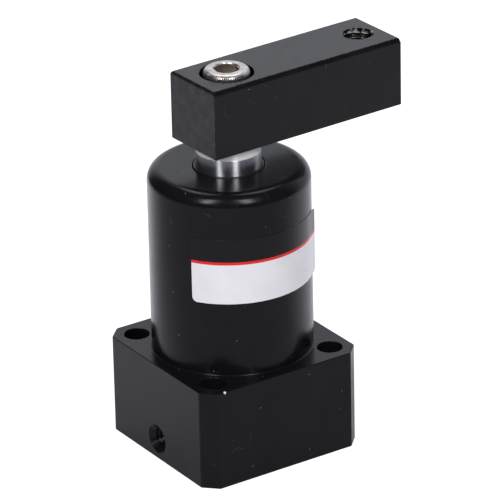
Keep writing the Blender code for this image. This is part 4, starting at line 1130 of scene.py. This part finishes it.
def make_floor():
    """A matt pale floor that shows white, takes shadows, and is mirrored dimmer in front, with a
    painted pool of light on the left and painted shade near the object.
    """
    material = bpy.data.materials.new("floor")
    material.use_nodes = True
    graph = Graph(material.node_tree)
    spot = graph.node("ShaderNodeTexCoord", {}).outputs["Object"]
    # What surfaces mirror: dim in front, a painted pool of light on the left, and the glow behind held
    # back near the object as painted shade
    to_light_pool = graph.node("ShaderNodeVectorMath", {0: spot, 1: LIGHT_POOL_CENTRE}, operation="DISTANCE")
    light_pool = graph.spread(to_light_pool.outputs["Value"], LIGHT_POOL_RADIUS, 0)
    reach = graph.node("ShaderNodeVectorMath", {0: spot}, operation="LENGTH").outputs["Value"]
    clear_of_shade = graph.spread(reach, REAR_NEAR, REAR_FAR)
    behind = graph.spread(heading(graph, spot, REARWARDS), 0, REAR_FULL)
    rear = graph.maths("MULTIPLY", behind, clear_of_shade)
    mirrored = graph.blend(rear, graph.blend(light_pool, FLOOR_FRONT, FLOOR_LIGHT_POOL), FLOOR_REAR)
    shader = graph.tree.nodes["Principled BSDF"]
    shader.inputs["Base Color"].default_value = (*FLOOR_PAINT, 1)
    shader.inputs["Roughness"].default_value = 1
    shader.inputs["Specular IOR Level"].default_value = 0
    shader.inputs["Emission Strength"].default_value = 1
    glow = graph.by_ray((0, 0, 0), mirrored, FLOOR_SEEN)
    graph.feed(shader.inputs["Emission Color"], glow)
    bm = bmesh.new()
    bmesh.ops.create_grid(bm, x_segments=FLOOR_CELLS, y_segments=FLOOR_CELLS, size=FLOOR_SIDE / 2)
    floor = add_object("floor", mesh_from("floor", bm))
    floor.location.z = -FLOOR_DROP
    floor.data.materials.append(material)


def direction_to(azimuth, elevation):
    """The direction from the object towards a place, its azimuth taken from the X axis."""
    return Vector((cos(azimuth) * cos(elevation), sin(azimuth) * cos(elevation), sin(elevation)))


def make_softbox(name, azimuth, elevation, size, power):
    light = bpy.data.lights.new(name, "AREA")
    light.shape = "RECTANGLE"
    light.size, light.size_y = size
    light.energy = power
    softbox = add_object(name, light)
    direction = direction_to(azimuth, elevation)
    softbox.location = CAMERA_TARGET + SOFTBOX_DISTANCE * direction
    softbox.rotation_euler = direction.to_track_quat("Z", "Y").to_euler()
    softbox.visible_camera = False


def make_softboxes():
    for index, azimuth in enumerate(FRONT_AZIMUTHS):
        make_softbox(f"softbox_{index}", azimuth, FRONT_ELEVATION, FRONT_SIZE, FRONT_POWER)
    make_softbox("softbox_top", TOP_AZIMUTH, TOP_ELEVATION, TOP_SIZE, TOP_POWER)


def make_camera():
    data = bpy.data.cameras.new("camera")
    data.lens = CAMERA_LENS
    camera = add_object("camera", data)
    back = direction_to(CAMERA_AZIMUTH, CAMERA_ELEVATION)
    level = back.to_track_quat("Z", "Y").to_matrix().to_4x4()
    rolled = level @ Matrix.Rotation(CAMERA_ROLL, 4, "Z")
    camera.matrix_world = Matrix.Translation(CAMERA_TARGET + CAMERA_DISTANCE * back) @ rolled
    bpy.context.scene.camera = camera


def make_pieces():
    materials = {
        "black_anodised": anodised_housing(),
        "plain_aluminium": turned_aluminium(),
        "hard_chrome": hard_chrome(),
        "stainless_steel": stainless_steel(),
        "hardened_steel": ground_steel(),
        "spring_steel": blackened_spring_steel(),
        "bronze": sintered_bronze(),
        "black_rubber": black_rubber(),
        "wear_ring_plastic": wear_ring_plastic(),
        "printed_film": printed_film(),
    }
    make_housing(materials["black_anodised"])
    make_wiper(materials["black_rubber"])
    make_label(materials["printed_film"])
    make_rod(materials["hard_chrome"])
    make_arm(anodised_arm())
    make_screw(materials["stainless_steel"])
    replaced = ("housing", "rod_wiper", "label", "piston_rod", "clamp_arm", "arm_screw")
    dress_hidden_nodes(materials, replaced)


make_pieces()
make_world()
make_floor()
make_softboxes()
make_camera()
bpy.context.scene.view_settings.view_transform = "Standard"
